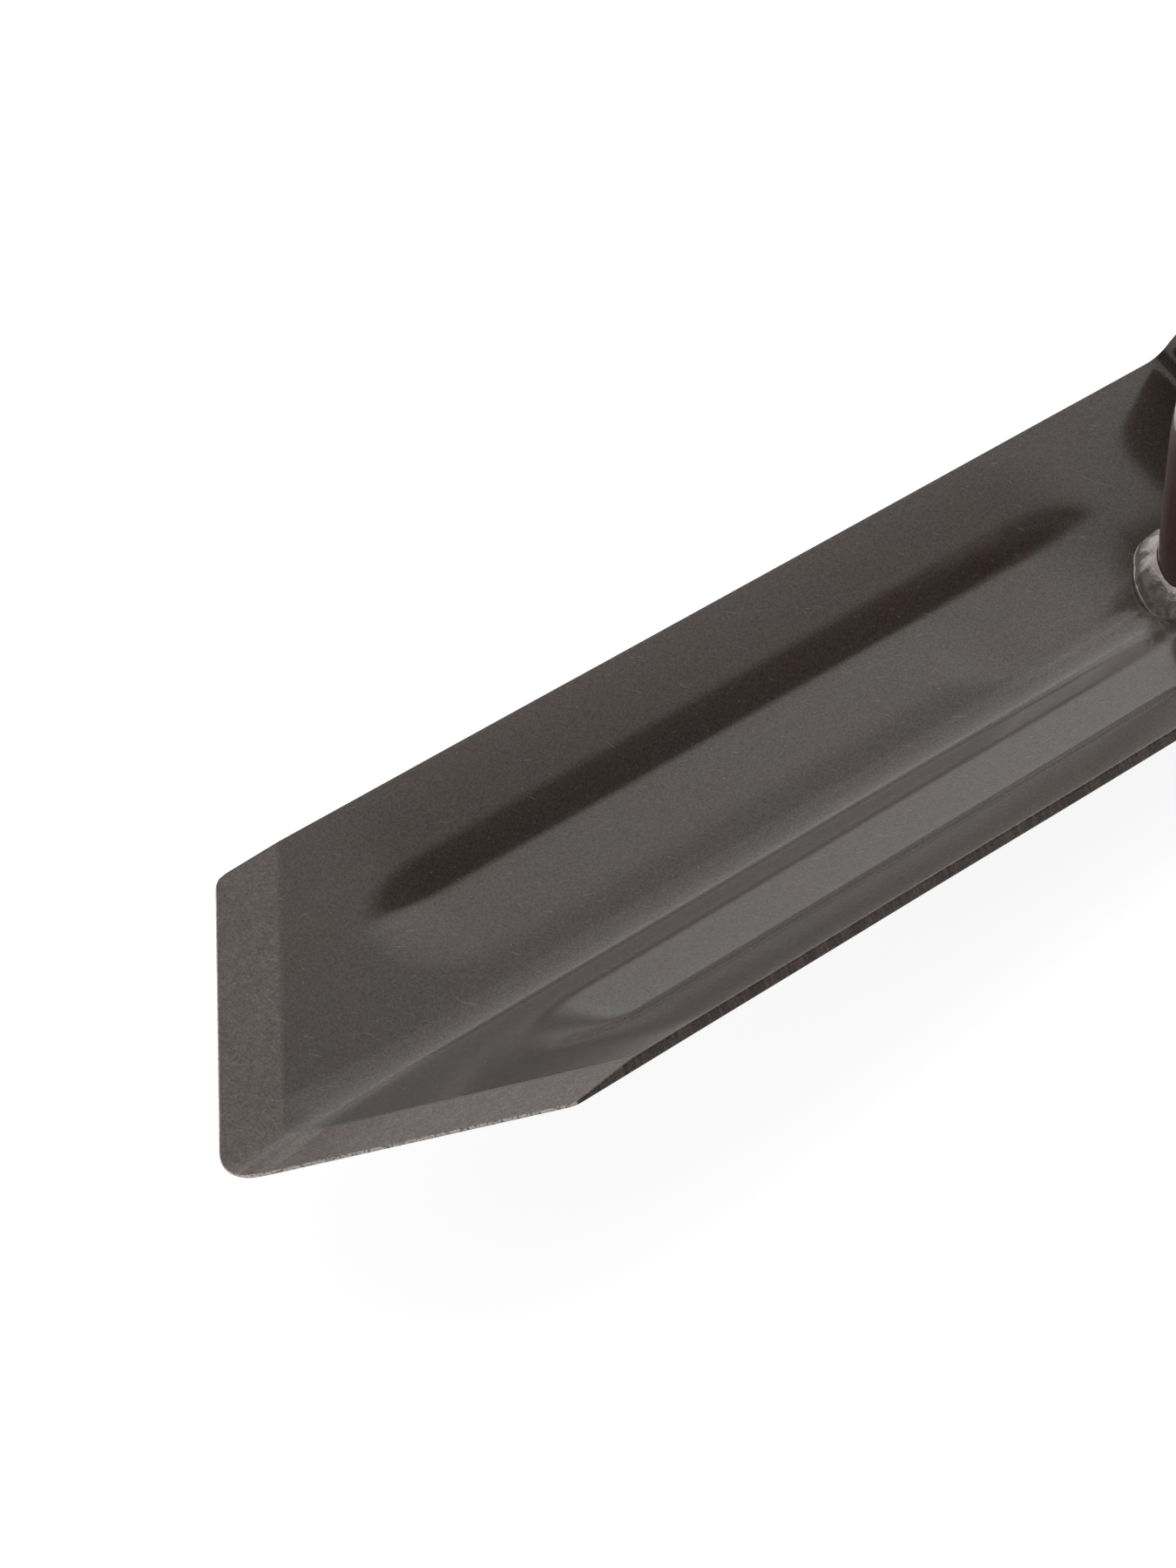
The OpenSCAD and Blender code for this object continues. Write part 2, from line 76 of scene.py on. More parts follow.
class Wire:
    # A socket of a node tree that can be added, multiplied and fed to further nodes

    __add__ = arithmetic("ADD")
    __radd__ = arithmetic("ADD", True)
    __sub__ = arithmetic("SUBTRACT")
    __rsub__ = arithmetic("SUBTRACT", True)
    __mul__ = arithmetic("MULTIPLY")
    __rmul__ = arithmetic("MULTIPLY", True)
    __truediv__ = arithmetic("DIVIDE")
    __pow__ = arithmetic("POWER")

    def __init__(self, tree, socket=None):
        self.tree = tree
        self.socket = socket

    def node(self, kind, settings=None, sockets=None, out=0):
        made = self.tree.nodes.new(kind)
        for key, value in (settings or {}).items():
            setattr(made, key, value)
        for key, value in (sockets or {}).items():
            if isinstance(value, Wire):
                self.tree.links.new(value.socket, made.inputs[key])
            else:
                made.inputs[key].default_value = value
        return Wire(self.tree, made.outputs[out]) if made.outputs else None

    def math(self, operation, *values):
        return self.node("ShaderNodeMath", {"operation": operation}, dict(enumerate(values)))

    def sin(self):
        return self.math("SINE", self)

    def cos(self):
        return self.math("COSINE", self)

    def root(self):
        return self.math("SQRT", self)

    def atLeast(self, low):
        return self.math("MAXIMUM", self, low)

    def atMost(self, high):
        return self.math("MINIMUM", self, high)

    def ramp(self, start, run):
        # From 0 at start to 1 after the run, in a straight line
        return ((self - start).atLeast(0.0) / run).atMost(1.0)

    def between(self, low, high, start=0.0, end=1.0):
        # A smooth step from start at low to end at high
        return self.node("ShaderNodeMapRange", {"interpolation_type": "SMOOTHSTEP"}, {
            "Value": self, "From Min": low, "From Max": high, "To Min": start, "To Max": end})

    def parts(self):
        split = self.node("ShaderNodeSeparateXYZ", {}, {0: self}).socket.node
        return [Wire(self.tree, socket) for socket in split.outputs]

    def vectorMath(self, operation, sockets, out=0):
        return self.node("ShaderNodeVectorMath", {"operation": operation}, sockets, out)

    def stretched(self, x, y, z):
        return self.vectorMath("MULTIPLY", {0: self, 1: (x, y, z)})

    def scaled(self, amount):
        return self.vectorMath("SCALE", {0: self, "Scale": amount})

    def shifted(self, other, amount):
        # This vector moved along another by so much of it
        return self.vectorMath("MULTIPLY_ADD", {0: other, 1: (amount, amount, amount), 2: self})

    def noise(self, scale, detail=2.0, roughness=0.5, out=0):
        return self.node("ShaderNodeTexNoise", {}, {
            "Vector": self, "Scale": scale, "Detail": detail, "Roughness": roughness}, out)

    def mixed(self, first, second):
        # A colour between two, with this as the share of the second
        return self.node("ShaderNodeMix", {"data_type": "RGBA"}, {0: self, 6: first, 7: second}, 2)


def colour(red, green, blue):
    return (red, green, blue, 1.0)


def grey(level):
    return colour(level, level, level)


def startMaterial(name):
    material = bpy.data.materials.new(name)
    material.use_nodes = True
    tree = material.node_tree
    tree.nodes.clear()
    return material, Wire(tree)


def spadePlace(wire):
    # Object coordinates turned to the spade's own axes, in millimetres
    place = wire.node("ShaderNodeTexCoord", out=3)
    ownPlace = wire.node("ShaderNodeMapping", {}, {
        "Vector": place,
        "Location": tuple(-(toolAxes.transposed() @ toolOrigin)),
        "Rotation": tuple(toolAxes.transposed().to_euler())})
    return ownPlace.stretched(1000, 1000, 1000)


def finishMaterial(wire, sockets, bumps=()):
    # Bumps are pairs of height and distance in metres, laid one over the other
    normal = None
    for height, distance in bumps:
        inputs = {"Height": height, "Distance": distance}
        if normal:
            inputs["Normal"] = normal
        normal = wire.node("ShaderNodeBump", {}, inputs)
    if normal:
        sockets = dict(sockets, Normal=normal)
    surface = wire.node("ShaderNodeBsdfPrincipled", {}, sockets)
    wire.node("ShaderNodeOutputMaterial", {}, {"Surface": surface})


def makeMesh(name, points, faces, faceValues=None):
    mesh = bpy.data.meshes.new(name)
    mesh.from_pydata(points, [], faces)
    for label, values in (faceValues or {}).items():
        attribute = mesh.attributes.new(label, "FLOAT", "FACE")
        attribute.data.foreach_set("value", np.array(values, np.float32))
    mesh.validate()
    piece = bpy.data.objects.new(name, mesh)
    bpy.context.scene.collection.objects.link(piece)
    return piece


def tidyMesh(piece, sharpAngle=32, merge=0.0004):
    # Merges doubles, turns faces outwards and keeps only true edges sharp
    work = bmesh.new()
    work.from_mesh(piece.data)
    bmesh.ops.remove_doubles(work, verts=work.verts, dist=merge)
    bmesh.ops.dissolve_degenerate(work, edges=work.edges, dist=merge)
    bmesh.ops.recalc_face_normals(work, faces=work.faces)
    work.to_mesh(piece.data)
    work.free()
    piece.data.shade_smooth()
    piece.data.set_sharp_from_angle(angle=math.radians(sharpAngle))


def settle(piece, slot, *nodes, **limits):
    # Tidies a finished piece, lays it down with the spade and hands it to the frame
    tidyMesh(piece, **limits)
    piece.data.transform(atRest)
    piece.data.materials.clear()
    piece.data.materials.append(materials[slot])
    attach(piece, "root")
    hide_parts(*nodes)
    print(piece.name, len(piece.data.polygons), "faces")


def applied(piece):
    # The piece with its modifiers turned into plain mesh
    graph = bpy.context.evaluated_depsgraph_get()
    result = bpy.data.meshes.new_from_object(piece.evaluated_get(graph))
    result.name = piece.name
    piece.modifiers.clear()
    piece.data = result
    return piece


def ringFaces(rows, count):
    # Faces between rings of points, each ring closed on itself
    row, place = np.meshgrid(np.arange(rows - 1) * count, np.arange(count), indexing="ij")
    beside = (place + 1) % count
    faces = np.stack([row + place, row + beside, row + count + beside, row + count + place], -1)
    return faces.reshape(-1, 4).tolist()


# Steel of the blade: dark rolled sheet under clear lacquer, ground at the cutting edges
bladeFinish = {
    "brown": colour(0.046, 0.0285, 0.0235),
    "grey": colour(0.038, 0.0325, 0.029),
    "ground": colour(0.062, 0.043, 0.038),
    "groundPale": colour(0.094, 0.071, 0.064),
    "litAndHeated": colour(0.105, 0.090, 0.082),
    "bare": colour(0.42, 0.39, 0.36),
    "burnt": colour(0.13, 0.095, 0.08),
    "cut": colour(0.030, 0.020, 0.017),
    "cutPale": colour(0.085, 0.058, 0.048),
    "speck": colour(0.20, 0.165, 0.145),
    "bevelRun": 20.2,         # along the blade, over the ground bevel
    "sweep": math.tan(math.radians(42.6)),
    "weldAt": (326.0, 6.0, 4.0),
    "roughness": 0.45,
    "coat": 0.89,
    "coatRoughness": 0.14,
}


def bladeSteel():
    finish = bladeFinish
    material, wire = startMaterial("bladeSteel")
    place = spadePlace(wire)
    x, y = place.parts()[:2]
    behindEdge = x - wire.math("ABSOLUTE", y) * finish["sweep"]
    clouds = place.noise(0.045, 4, 0.6)
    mottle = place.noise(0.40, 5, 0.75)
    grain = place.noise(1.5, 3, 0.8)
    evenGrain = grain.between(0.28, 0.72)
    # Painted shade: the outer part of the far flange, short of the treads, is tinted browner for
    # how it is lit, while the near flange keeps the grey.
    shadedSideTint = y.between(26.0, 42.0, 0.0, 0.42) * x.between(310.0, 350.0, 1.0, 0.0)
    base = (clouds.between(0.38, 0.62) * 0.65 + mottle.between(0.3, 0.7) * 0.45 - shadedSideTint).mixed(
        finish["brown"], finish["grey"])
    wander = place.noise(0.25) - 0.5
    ground = (behindEdge + wander).between(finish["bevelRun"] - 0.9, finish["bevelRun"] + 0.9,
                                           1.0, 0.0)
    stone = mottle.between(0.3, 0.75).mixed(finish["ground"], finish["groundPale"])
    base = ground.mixed(base, stone)
    # Painted highlight: a lighter patch on the sheet beside the neck weld stands in for reflected
    # light there, together with a heat tint of the weld.
    fromWeld = wire.vectorMath("DISTANCE", {
        0: place.stretched(1, 1.7, 1), 1: finish["weldAt"]}, 1)
    litAndHeatedPatch = (fromWeld + wander * 6).between(16, 46, 1.0, 0.0)
    base = (litAndHeatedPatch * 0.20).mixed(base, finish["litAndHeated"])
    specks = place.noise(1.1, 1, 0.5).between(0.75, 0.80)
    base = (specks * 0.45).mixed(base, finish["speck"])
    swung = wire.node("ShaderNodeVectorRotate", {"rotation_type": "Z_AXIS"}, {
        "Vector": place.shifted(place.noise(0.05, 1, 0.5, out=1), 12.0), "Angle": 0.7})
    scratches = swung.stretched(0.16, 2.2, 1.0).noise(0.55, 1, 0.3).between(0.735, 0.76)
    base = (scratches * 0.24).mixed(base, finish["speck"])
    cut, honed = (wire.node("ShaderNodeAttribute", {"attribute_name": label}, out=2)
                  for label in ("cutFace", "honed"))
    shear = place.stretched(1, 0.05, 0.05).noise(0.9, 3, 0.7)
    base = cut.mixed(base, shear.between(0.35, 0.7).mixed(finish["cut"], finish["cutPale"]))
    ticks = place.noise(0.75, 3, 0.7)
    sharpened = ticks.between(0.30, 0.55).mixed(finish["burnt"], finish["bare"])
    base = honed.mixed(base, sharpened)
    base = base.scaled(0.42 + mottle * 0.34 + evenGrain * 0.86)
    roughness = finish["roughness"] + (grain - 0.5) * 0.2 + ground * 0.10 - honed * 0.1
    coat = finish["coat"] + (evenGrain - 0.5) * 0.36
    finishMaterial(wire, {
        "Base Color": base,
        "Metallic": honed * 0.7,
        "Roughness": roughness,
        "Specular IOR Level": 0.08,
        "Coat Weight": coat - cut * 0.5 - honed * 0.5,
        "Coat Roughness": finish["coatRoughness"],
    }, [
        (place.noise(0.11), 0.00010),
        (grain, 0.000025),
        (shear * cut, 0.00012),
    ])
    return material


# Drawn tube, pressed steel and weld metal, all under the same lacquer
def darkSteel(name, deep, light, coat, lineDirection):
    material, wire = startMaterial(name)
    place = spadePlace(wire)
    clouds = place.noise(0.05, 4, 0.6)
    lines = place.stretched(*lineDirection).noise(1.4, 3, 0.7)
    grain = place.noise(1.1, 3, 0.75)
    share = clouds.between(0.3, 0.7) * 0.6 + lines.between(0.35, 0.75) * 0.4
    base = share.mixed(deep, light)
    scratches = place.stretched(0.1, 1.2, 1.2).noise(1.1, 1, 0.4).between(0.70, 0.73)
    base = (scratches * 0.25).mixed(base, colour(0.28, 0.25, 0.23))
    base = base.scaled(0.6 + grain * 0.8)
    finishMaterial(wire, {
        "Base Color": base,
        "Metallic": 0.35,
        "Roughness": 0.34 + lines * 0.16,
        "Specular IOR Level": 0.25,
        "Coat Weight": coat,
        "Coat Roughness": 0.10,
    }, [(place.noise(0.15), 0.00015), (lines, 0.00003)])
    return material


def brightSteel(name, deep, light, metallic, roughness, coat, spatter):
    material, wire = startMaterial(name)
    place = spadePlace(wire)
    clouds = place.noise(0.35, 4, 0.65)
    grain = place.noise(2.4, 3, 0.7)
    base = clouds.between(0.32, 0.68).mixed(deep, light).scaled(0.7 + grain * 0.6)
    finishMaterial(wire, {
        "Base Color": base,
        "Metallic": metallic,
        "Roughness": roughness + (clouds - 0.5) * 0.3,
        "Coat Weight": coat,
        "Coat Roughness": 0.06,
    }, [(place.noise(0.55, 3, 0.6), spatter), (grain, 0.00003)])
    return material


# Straight-grained ash, sanded and oiled
ashFinish = {
    "early": colour(0.60, 0.415, 0.235),
    "late": colour(0.43, 0.265, 0.125),
    "pores": colour(0.27, 0.155, 0.075),
    "ringPitch": 0.30,
}


def ashWood(name, lengthAxis, centre):
    finish = ashFinish
    material, wire = startMaterial(name)
    place = spadePlace(wire)
    centred = wire.vectorMath("SUBTRACT", {0: place, 1: centre})
    squeeze = [1.0, 1.0, 1.0]
    squeeze[lengthAxis] = 0.035
    drawn = centred.stretched(*squeeze)
    squeeze[lengthAxis] = 0.012
    wander = centred.stretched(*squeeze).noise(0.05, 3, 0.5, out=1)
    x, y, z = drawn.shifted(wander, 9).parts()
    across = (y if lengthAxis == 0 else x) * 0.35 + z * 0.94
    rings = wire.math("FRACT", across * finish["ringPitch"] + 40)
    late = rings.between(0.30, 0.92) * rings.between(0.93, 1.0, 1.0, 0.0)
    squeeze[lengthAxis] = 0.03
    fibre = centred.stretched(*squeeze).noise(1.7, 4, 0.7)
    base = (late * 0.75 + (fibre - 0.5) * 0.5).mixed(finish["early"], finish["late"])
    squeeze[lengthAxis] = 0.07
    pores = centred.stretched(*squeeze).noise(2.1, 1, 0.4).between(0.62, 0.72)
    pores = pores * (0.25 + late * 0.75)
    base = (pores * 0.8).mixed(base, finish["pores"])
    soft = centred.noise(0.02).between(0.3, 0.7)
    base = (soft * 0.22).mixed(base, colour(0.50, 0.33, 0.17))
    finishMaterial(wire, {
        "Base Color": base,
        "Roughness": 0.50 + fibre * 0.16 + pores * 0.12,
        "Specular IOR Level": 0.4,
        "Coat Weight": 0.12,
        "Coat Roughness": 0.32,
    }, [(fibre - pores * 0.8, 0.00006), (centred.noise(0.06), 0.0004)])
    return material


materials = {
    "blade_steel": bladeSteel(),
    "tube_steel": darkSteel("tubeSteel", colour(0.120, 0.072, 0.064),
                            colour(0.200, 0.132, 0.118), 1.0, (1.2, 1.2, 0.06)),
    "socket_steel": darkSteel("socketSteel", colour(0.040, 0.032, 0.028),
                              colour(0.066, 0.056, 0.050), 0.9, (0.07, 1.2, 1.2)),
    "weld_steel": brightSteel("weldMetal", colour(0.19, 0.155, 0.142),
                              colour(0.33, 0.285, 0.265), 0.50, 0.22, 1.0, 0.00022),
    "rivet_steel": brightSteel("rivetSteel", colour(0.30, 0.285, 0.27),
                               colour(0.42, 0.41, 0.40), 0.85, 0.38, 0.3, 0.00025),
    "ash_wood": ashWood("ashShaft", 0, (0, 0, spade["axisHeight"])),
    "bar_wood": ashWood("ashBar", 1, (spade["barAt"], 0, spade["axisHeight"])),
}
materials["yoke_steel"] = materials["socket_steel"]
print("materials ready")

# The folded sheet: half the angle between its flanges is foldHalf
blade = {
    "width": 120.0,
    "length": 400.0,
    "sheet": 3.0,
    "foldHalf": math.radians(65),
    "foldRadius": 8.0,        # inside
    "pointSpread": 9.0,       # more fold radius at the point, gone after spreadRun
    "spreadRun": 70.0,
    "tipSweep": math.radians(42.6),
    "pointRadius": 9.0,
    "cornerRadius": 6.0,
    "bevelWidth": 15.5,
    "bevelSoftness": 1.2,
    "edgeThickness": 0.8,
    "leastEdge": 0.12,
    "foldFill": 5.0,          # more fold radius on the hollow side
    "neckFill": 4.0,          # and more again where the neck is welded on
    "neckFillFrom": 240.0,
    "neckFillRun": 90.0,
    "brow": 0.45,             # rise of the hollow side beside the fold
    "browRun": 11.0,
    "browEnds": (60.0, 30.0), # over which it starts at the point and stops at the treads
    "edgeRounding": 0.42,     # of the sheared side edges
    "waviness": 0.05,
    "rows": 116,
    "flangeStations": 62,
    "foldStations": 18,
    "crowding": (0.72, 0.28), # shares of stations crowded at the ends and laid evenly
}
flute = {
    "depth": 3.65,
    "start": 74.0,
    "end": 352.0,
    "nose": 30.0,
    "line": 36.0,             # of its bottom, from the fold across the flange
    "inner": 18.2,
    "innerAtNeck": 12.0,      # more of it on the left, where the neck is welded on
    "neckFrom": 266.0,
    "neckRun": 28.0,
    "sideRun": 6.0,           # over which the left takes over from the right
    "outer": 9.5,
    "fade": 28.0,
    "fadeShare": 0.40,
    "bottomSoftness": 1.6,
    "shoulderSoftness": 0.10,
}
tread = {
    "bendRadius": 5.5,
    "height": 38.0,
    "cornerRadius": 8.0,
    "gap": 8.5,
    "lean": 0.09,             # inwards, over its straight part
    "bendRows": 12,
    "rows": 14,
    "chamfer": 0.35,
}
sine, cosine = math.sin(blade["foldHalf"]), math.cos(blade["foldHalf"])
flangeWidth = blade["width"] / 2 / sine
foldOuter = blade["foldRadius"] + blade["sheet"]
foldCentre = foldOuter / sine
foldEnd = foldOuter * cosine / sine
treadStart = (tread["gap"] / 2 + tread["height"] * cosine) / sine
edgeAngle = math.atan(math.tan(blade["tipSweep"]) * sine)
bevelSlope = math.cos(edgeAngle) * (blade["sheet"] - blade["edgeThickness"]) / blade["bevelWidth"]


def smooth(share):
    share = np.clip(share, 0, 1)
    return share * share * (3 - 2 * share)


def sheetBase(across, x, hollow=0.0):
    # A point of the outer face and the direction through the sheet, at a place across it
    radius = foldOuter + blade["pointSpread"] * (1 - smooth(x / blade["spreadRun"]))
    towardsNeck = smooth((x - blade["neckFillFrom"]) / blade["neckFillRun"])
    radius = radius + hollow * (blade["foldFill"] + blade["neckFill"] * towardsNeck)
    reach = radius * cosine / sine
    turn = np.clip(across / reach, -1, 1) * (math.pi / 2 - blade["foldHalf"])
    side = np.sign(across)
    onFold = np.abs(across) <= reach
    y = np.where(onFold, radius * np.sin(turn), across * sine)
    z = np.where(onFold, radius / sine - radius * np.cos(turn), np.abs(across) * cosine)
    normalY = np.where(onFold, -np.sin(turn), -side * cosine)
    normalZ = np.where(onFold, np.cos(turn), sine)
    return y, z, normalY, normalZ


def endEdge(y):
    # Where the blade begins, at a distance from the middle
    sweep, half = math.tan(blade["tipSweep"]), blade["width"] / 2
    point, corner = blade["pointRadius"], blade["cornerRadius"]
    pointCentre = point / math.cos(blade["tipSweep"])
    pointReach = point * math.sin(blade["tipSweep"])
    cornerY = half - corner
    cornerX = half * sweep + corner / math.tan((math.pi / 2 + blade["tipSweep"]) / 2)
    cornerReach = cornerY + corner * math.sin(blade["tipSweep"])
    y = np.minimum(np.abs(y), half)
    atPoint = pointCentre - np.sqrt(np.maximum(point ** 2 - y ** 2, 0))
    atCorner = cornerX - np.sqrt(np.maximum(corner ** 2 - (y - cornerY) ** 2, 0))
    return np.where(y < pointReach, atPoint, np.where(y > cornerReach, atCorner, y * sweep))


def bevelHeight(x, across):
    # Thickness left by the two ground planes, limited by the sheet
    baseY, baseZ, normalY, normalZ = sheetBase(across, x)
    sweep = math.tan(edgeAngle)
    left = []
    for side in (1, -1):
        alongFlange = side * baseY * sine + baseZ * cosine
        overFlange = -side * baseY * cosine + baseZ * sine
        leanAlong = side * normalY * sine + normalZ * cosine
        leanOver = -side * normalY * cosine + normalZ * sine
        plane = blade["edgeThickness"] + (x - alongFlange * sweep) * bevelSlope
        left.append((plane - overFlange) / (leanOver + leanAlong * sweep * bevelSlope))
    thicker = (left[0] + left[1] + np.hypot(left[0] - left[1], blade["bevelSoftness"])) / 2
    return np.clip(thicker, blade["leastEdge"], blade["sheet"])


def fluteDepth(x, across):
    # A groove with an even inner flank and an outer one that fades into the flange
    front, rear = flute["start"] + flute["nose"], flute["end"] - flute["nose"]
    past = np.clip((np.maximum(front - x, 0) + np.maximum(x - rear, 0)) / flute["nose"], 0, 1)
    narrowed = np.sqrt(np.maximum(1 - past ** 2, 1e-4))
    off = (np.abs(across) - flute["line"]) / narrowed
    away = np.hypot(off, flute["bottomSoftness"]) - flute["bottomSoftness"]
    towardsNeck = smooth((x - flute["neckFrom"]) / flute["neckRun"])
    spread = flute["innerAtNeck"] * towardsNeck * smooth(across / flute["sideRun"])
    inner = 1 - away / (flute["inner"] + spread)
    inner = (inner + np.hypot(inner, flute["shoulderSoftness"])) / 2
    fade = np.maximum(1 - away / flute["fade"], 0)
    outer = (np.maximum(1 - away / flute["outer"], 0) ** 2 * (1 - flute["fadeShare"])
             + flute["fadeShare"] * fade ** 1.3)
    return flute["depth"] * (1 - smooth(past)) * np.where(off < 0, inner, outer)


def wave(x, across):
    # The slight unevenness of sheet that was pressed and folded
    return blade["waviness"] * (
        np.sin(x / 31 + across / 23) + 0.7 * np.sin(x / 17 - across / 37 + 1.3)
        + 0.5 * np.sin(across / 9.5 + x / 71)) * smooth((x - 40) / 60) * smooth((390 - x) / 40)


def sheetPoint(x, across, height, share):
    y, z, normalY, normalZ = sheetBase(across, x, share)
    brow = blade["brow"] * np.exp(-np.maximum(np.abs(across) - foldEnd, 0) / blade["browRun"])
    front, rear = blade["browEnds"]
    brow = brow * smooth(x / front) * smooth((blade["length"] - x) / rear)
    height = height - fluteDepth(x, across) + wave(x, across) + brow * share
    return np.stack([x, y + normalY * height, z + normalZ * height], -1)


def bladeLoop():
    # Places round the sheet: across, share of thickness, and the rounding of the edges
    fromFold = (1 - np.cos(np.linspace(0, math.pi, blade["flangeStations"]))) / 2
    crowded, even = blade["crowding"]
    fromFold = crowded * fromFold + even * np.linspace(0, 1, blade["flangeStations"])
    outer = foldEnd + (flangeWidth - blade["edgeRounding"] - foldEnd) * fromFold
    outer = np.sort(np.append(outer[np.abs(outer - treadStart) > 0.2], treadStart))
    inner = np.linspace(0, foldEnd, blade["foldStations"] // 2 + 1)[:-1]
    half = np.concatenate([inner, outer])
    top = np.concatenate([-half[:0:-1], half])
    angles = np.linspace(0, math.pi / 2, 5)[1:]
    edge = [(math.sin(angle) - 1, 1.0, math.cos(angle) - 1) for angle in angles]
    edge += [(0.0, 1 - share, 2 * share - 1) for share in (0.25, 0.5, 0.75)]
    edge += [(math.cos(angle) - 1, 0.0, 1 - math.sin(angle)) for angle in angles - angles[0]]
    return top, np.array(edge)


def makeBlade():
    top, edge = bladeLoop()
    stations, edgeCount = len(top), len(edge)
    none, whole = np.zeros(stations), np.ones(edgeCount)
    side = np.concatenate([none, whole, none, -whole])
    nominal = np.concatenate([top, whole * flangeWidth, top[::-1], -whole * flangeWidth])
    inset, thick, lift = (np.concatenate([none + (column == 1), values, none, values[::-1]])
                          for column, values in enumerate(edge.T))
    start = endEdge(sheetBase(nominal, 0)[0])
    run = blade["bevelWidth"] / math.cos(edgeAngle)
    offsets = np.concatenate([
        [0, 0.12, 0.35, 0.8], np.linspace(1.6, run - 1.2, 12), [run - 0.35, run, run + 0.5],
        np.linspace(run + 1.6, run + 12, 8)])
    rows = [start + offset for offset in offsets]
    last = start + offsets[-1]
    for share in np.linspace(0, 1, blade["rows"])[1:]:
        rows.append(last + (blade["length"] - last) * share)
    points = []
    for x in rows:
        available = bevelHeight(x, nominal)
        rounding = np.minimum(blade["edgeRounding"], 0.42 * available)
        across = nominal + np.sign(side) * inset * rounding
        points.append(sheetPoint(x, across, thick * available + lift * rounding, thick))
    count, rowCount = len(nominal), len(rows)
    faces = ringFaces(rowCount, count)
    flat = np.array(points).reshape(-1, 3).tolist()
    onEdge = side != 0
    cut = list(np.tile(onEdge | np.roll(onEdge, -1), rowCount - 1).astype(float))
    honed = [0.0] * len(cut)

    def opposite(k):
        # The bottom station under a top station, within the ring
        return 2 * stations + edgeCount - 1 - k

    def addFace(corners, isCut=0.0, isHoned=0.0):
        faces.append(tuple(corners))
        cut.append(isCut)
        honed.append(isHoned)

    for k in range(stations - 1):     # the cutting edge, and the cut end between the treads
        addFace((k + 1, k, opposite(k), opposite(k + 1)), 0.0, 1.0)
    base = (rowCount - 1) * count
    for k in range(stations - 1):
        if abs(top[k] + top[k + 1]) / 2 < treadStart:
            addFace((base + k, base + k + 1, base + opposite(k + 1), base + opposite(k)), 1.0)
    for first in (stations - 1, opposite(0)):    # ends of the side edges
        addFace(reversed([(first + j) % count for j in range(edgeCount + 2)]), 1.0)

    radius = blade["sheet"] + tread["bendRadius"]
    rounding = blade["edgeRounding"]
    for sign in (1, -1):
        first = int(np.argmin(np.abs(top - sign * treadStart)))
        if sign > 0:
            ring = np.arange(first, opposite(first) + 1)
        else:
            ring = np.arange(opposite(first), count + first + 1) % count
        across = nominal[ring] + np.sign(side[ring]) * inset[ring] * rounding
        height = thick[ring] * blade["sheet"] + lift[ring] * rounding
        y, z, normalY, normalZ = sheetBase(across, blade["length"])
        outwards = (np.abs(across) - treadStart) / (flangeWidth - treadStart)
        atEdge = onEdge[ring] | np.roll(onEdge[ring], -1)
        toSide = np.minimum(np.abs(across) - treadStart, flangeWidth - np.abs(across))
        corner = tread["cornerRadius"]
        inCorner = corner - np.clip(toSide, 0, corner)
        shy = corner - np.sqrt(np.maximum(corner ** 2 - inCorner ** 2, 0))
        rise = tread["height"] - radius - shy
        previous = base + ring
        steps = [("bend", share) for share in np.linspace(0, 1, tread["bendRows"])[1:]]
        steps += [("rise", share) for share in np.linspace(0, 1, tread["rows"])[1:]]
        steps.append(("end", 1.0))
        for kind, amount in steps:
            level = height
            if kind == "bend":
                turn = amount * math.pi / 2
                x = blade["length"] + (radius - level) * math.sin(turn)
                over = radius - (radius - level) * math.cos(turn)
            else:
                chamfer = tread["chamfer"]
                if kind == "end":
                    middle = blade["sheet"] / 2
                    level = middle + (level - middle) * (1 - chamfer / middle)
                x = blade["length"] + radius - level
                over = radius + (rise - chamfer) * amount + (chamfer if kind == "end" else 0)
            here = len(flat)
            leant = tread["lean"] * outwards * np.maximum(over - radius, 0)
            flat += np.stack([x, y + normalY * over - sign * sine * leant,
                              z + normalZ * over - cosine * leant], -1).tolist()
            current = here + np.arange(len(ring))
            for j in range(len(ring)):
                k = (j + 1) % len(ring)
                addFace((previous[j], previous[k], current[k], current[j]),
                        float(atEdge[j] or j == len(ring) - 1 or kind == "end"))
            previous = current
        half = len(ring) // 2
        for j in range(half - 1 + len(ring) % 2):
            mirror = len(ring) - 1 - j
            quad = [previous[j], previous[j + 1], previous[mirror - 1], previous[mirror]]
            addFace(dict.fromkeys(quad), 1.0)
    return makeMesh("blade", flat, faces, {"cutFace": cut, "honed": honed})


settle(makeBlade(), "blade_steel", "blade", sharpAngle=24, merge=0.002)


def startShape(name, numbers):
    # A Geometry Nodes tree with one named input for each number
    tree = bpy.data.node_groups.new(name, "GeometryNodeTree")
    tree.interface.new_socket("Mesh", in_out="OUTPUT", socket_type="NodeSocketGeometry")
    for label, value in numbers.items():
        kind = "NodeSocketInt" if isinstance(value, int) else "NodeSocketFloat"
        tree.interface.new_socket(label, in_out="INPUT", socket_type=kind)
    wire = Wire(tree)
    given = wire.node("NodeGroupInput").socket.node.outputs
    return wire, SimpleNamespace(**{label: Wire(tree, given[label]) for label in numbers})


def finishShape(wire, shape, slot):
    # Realizes the shape, merges its seams and gives it its material
    real = wire.node("GeometryNodeRealizeInstances", {}, {0: shape})
    merged = wire.node("GeometryNodeMergeByDistance", {}, {0: real, "Distance": 0.002})
    dressed = wire.node("GeometryNodeSetMaterial", {}, {0: merged, "Material": materials[slot]})
    wire.node("NodeGroupOutput", {}, {0: dressed})
    return wire.tree


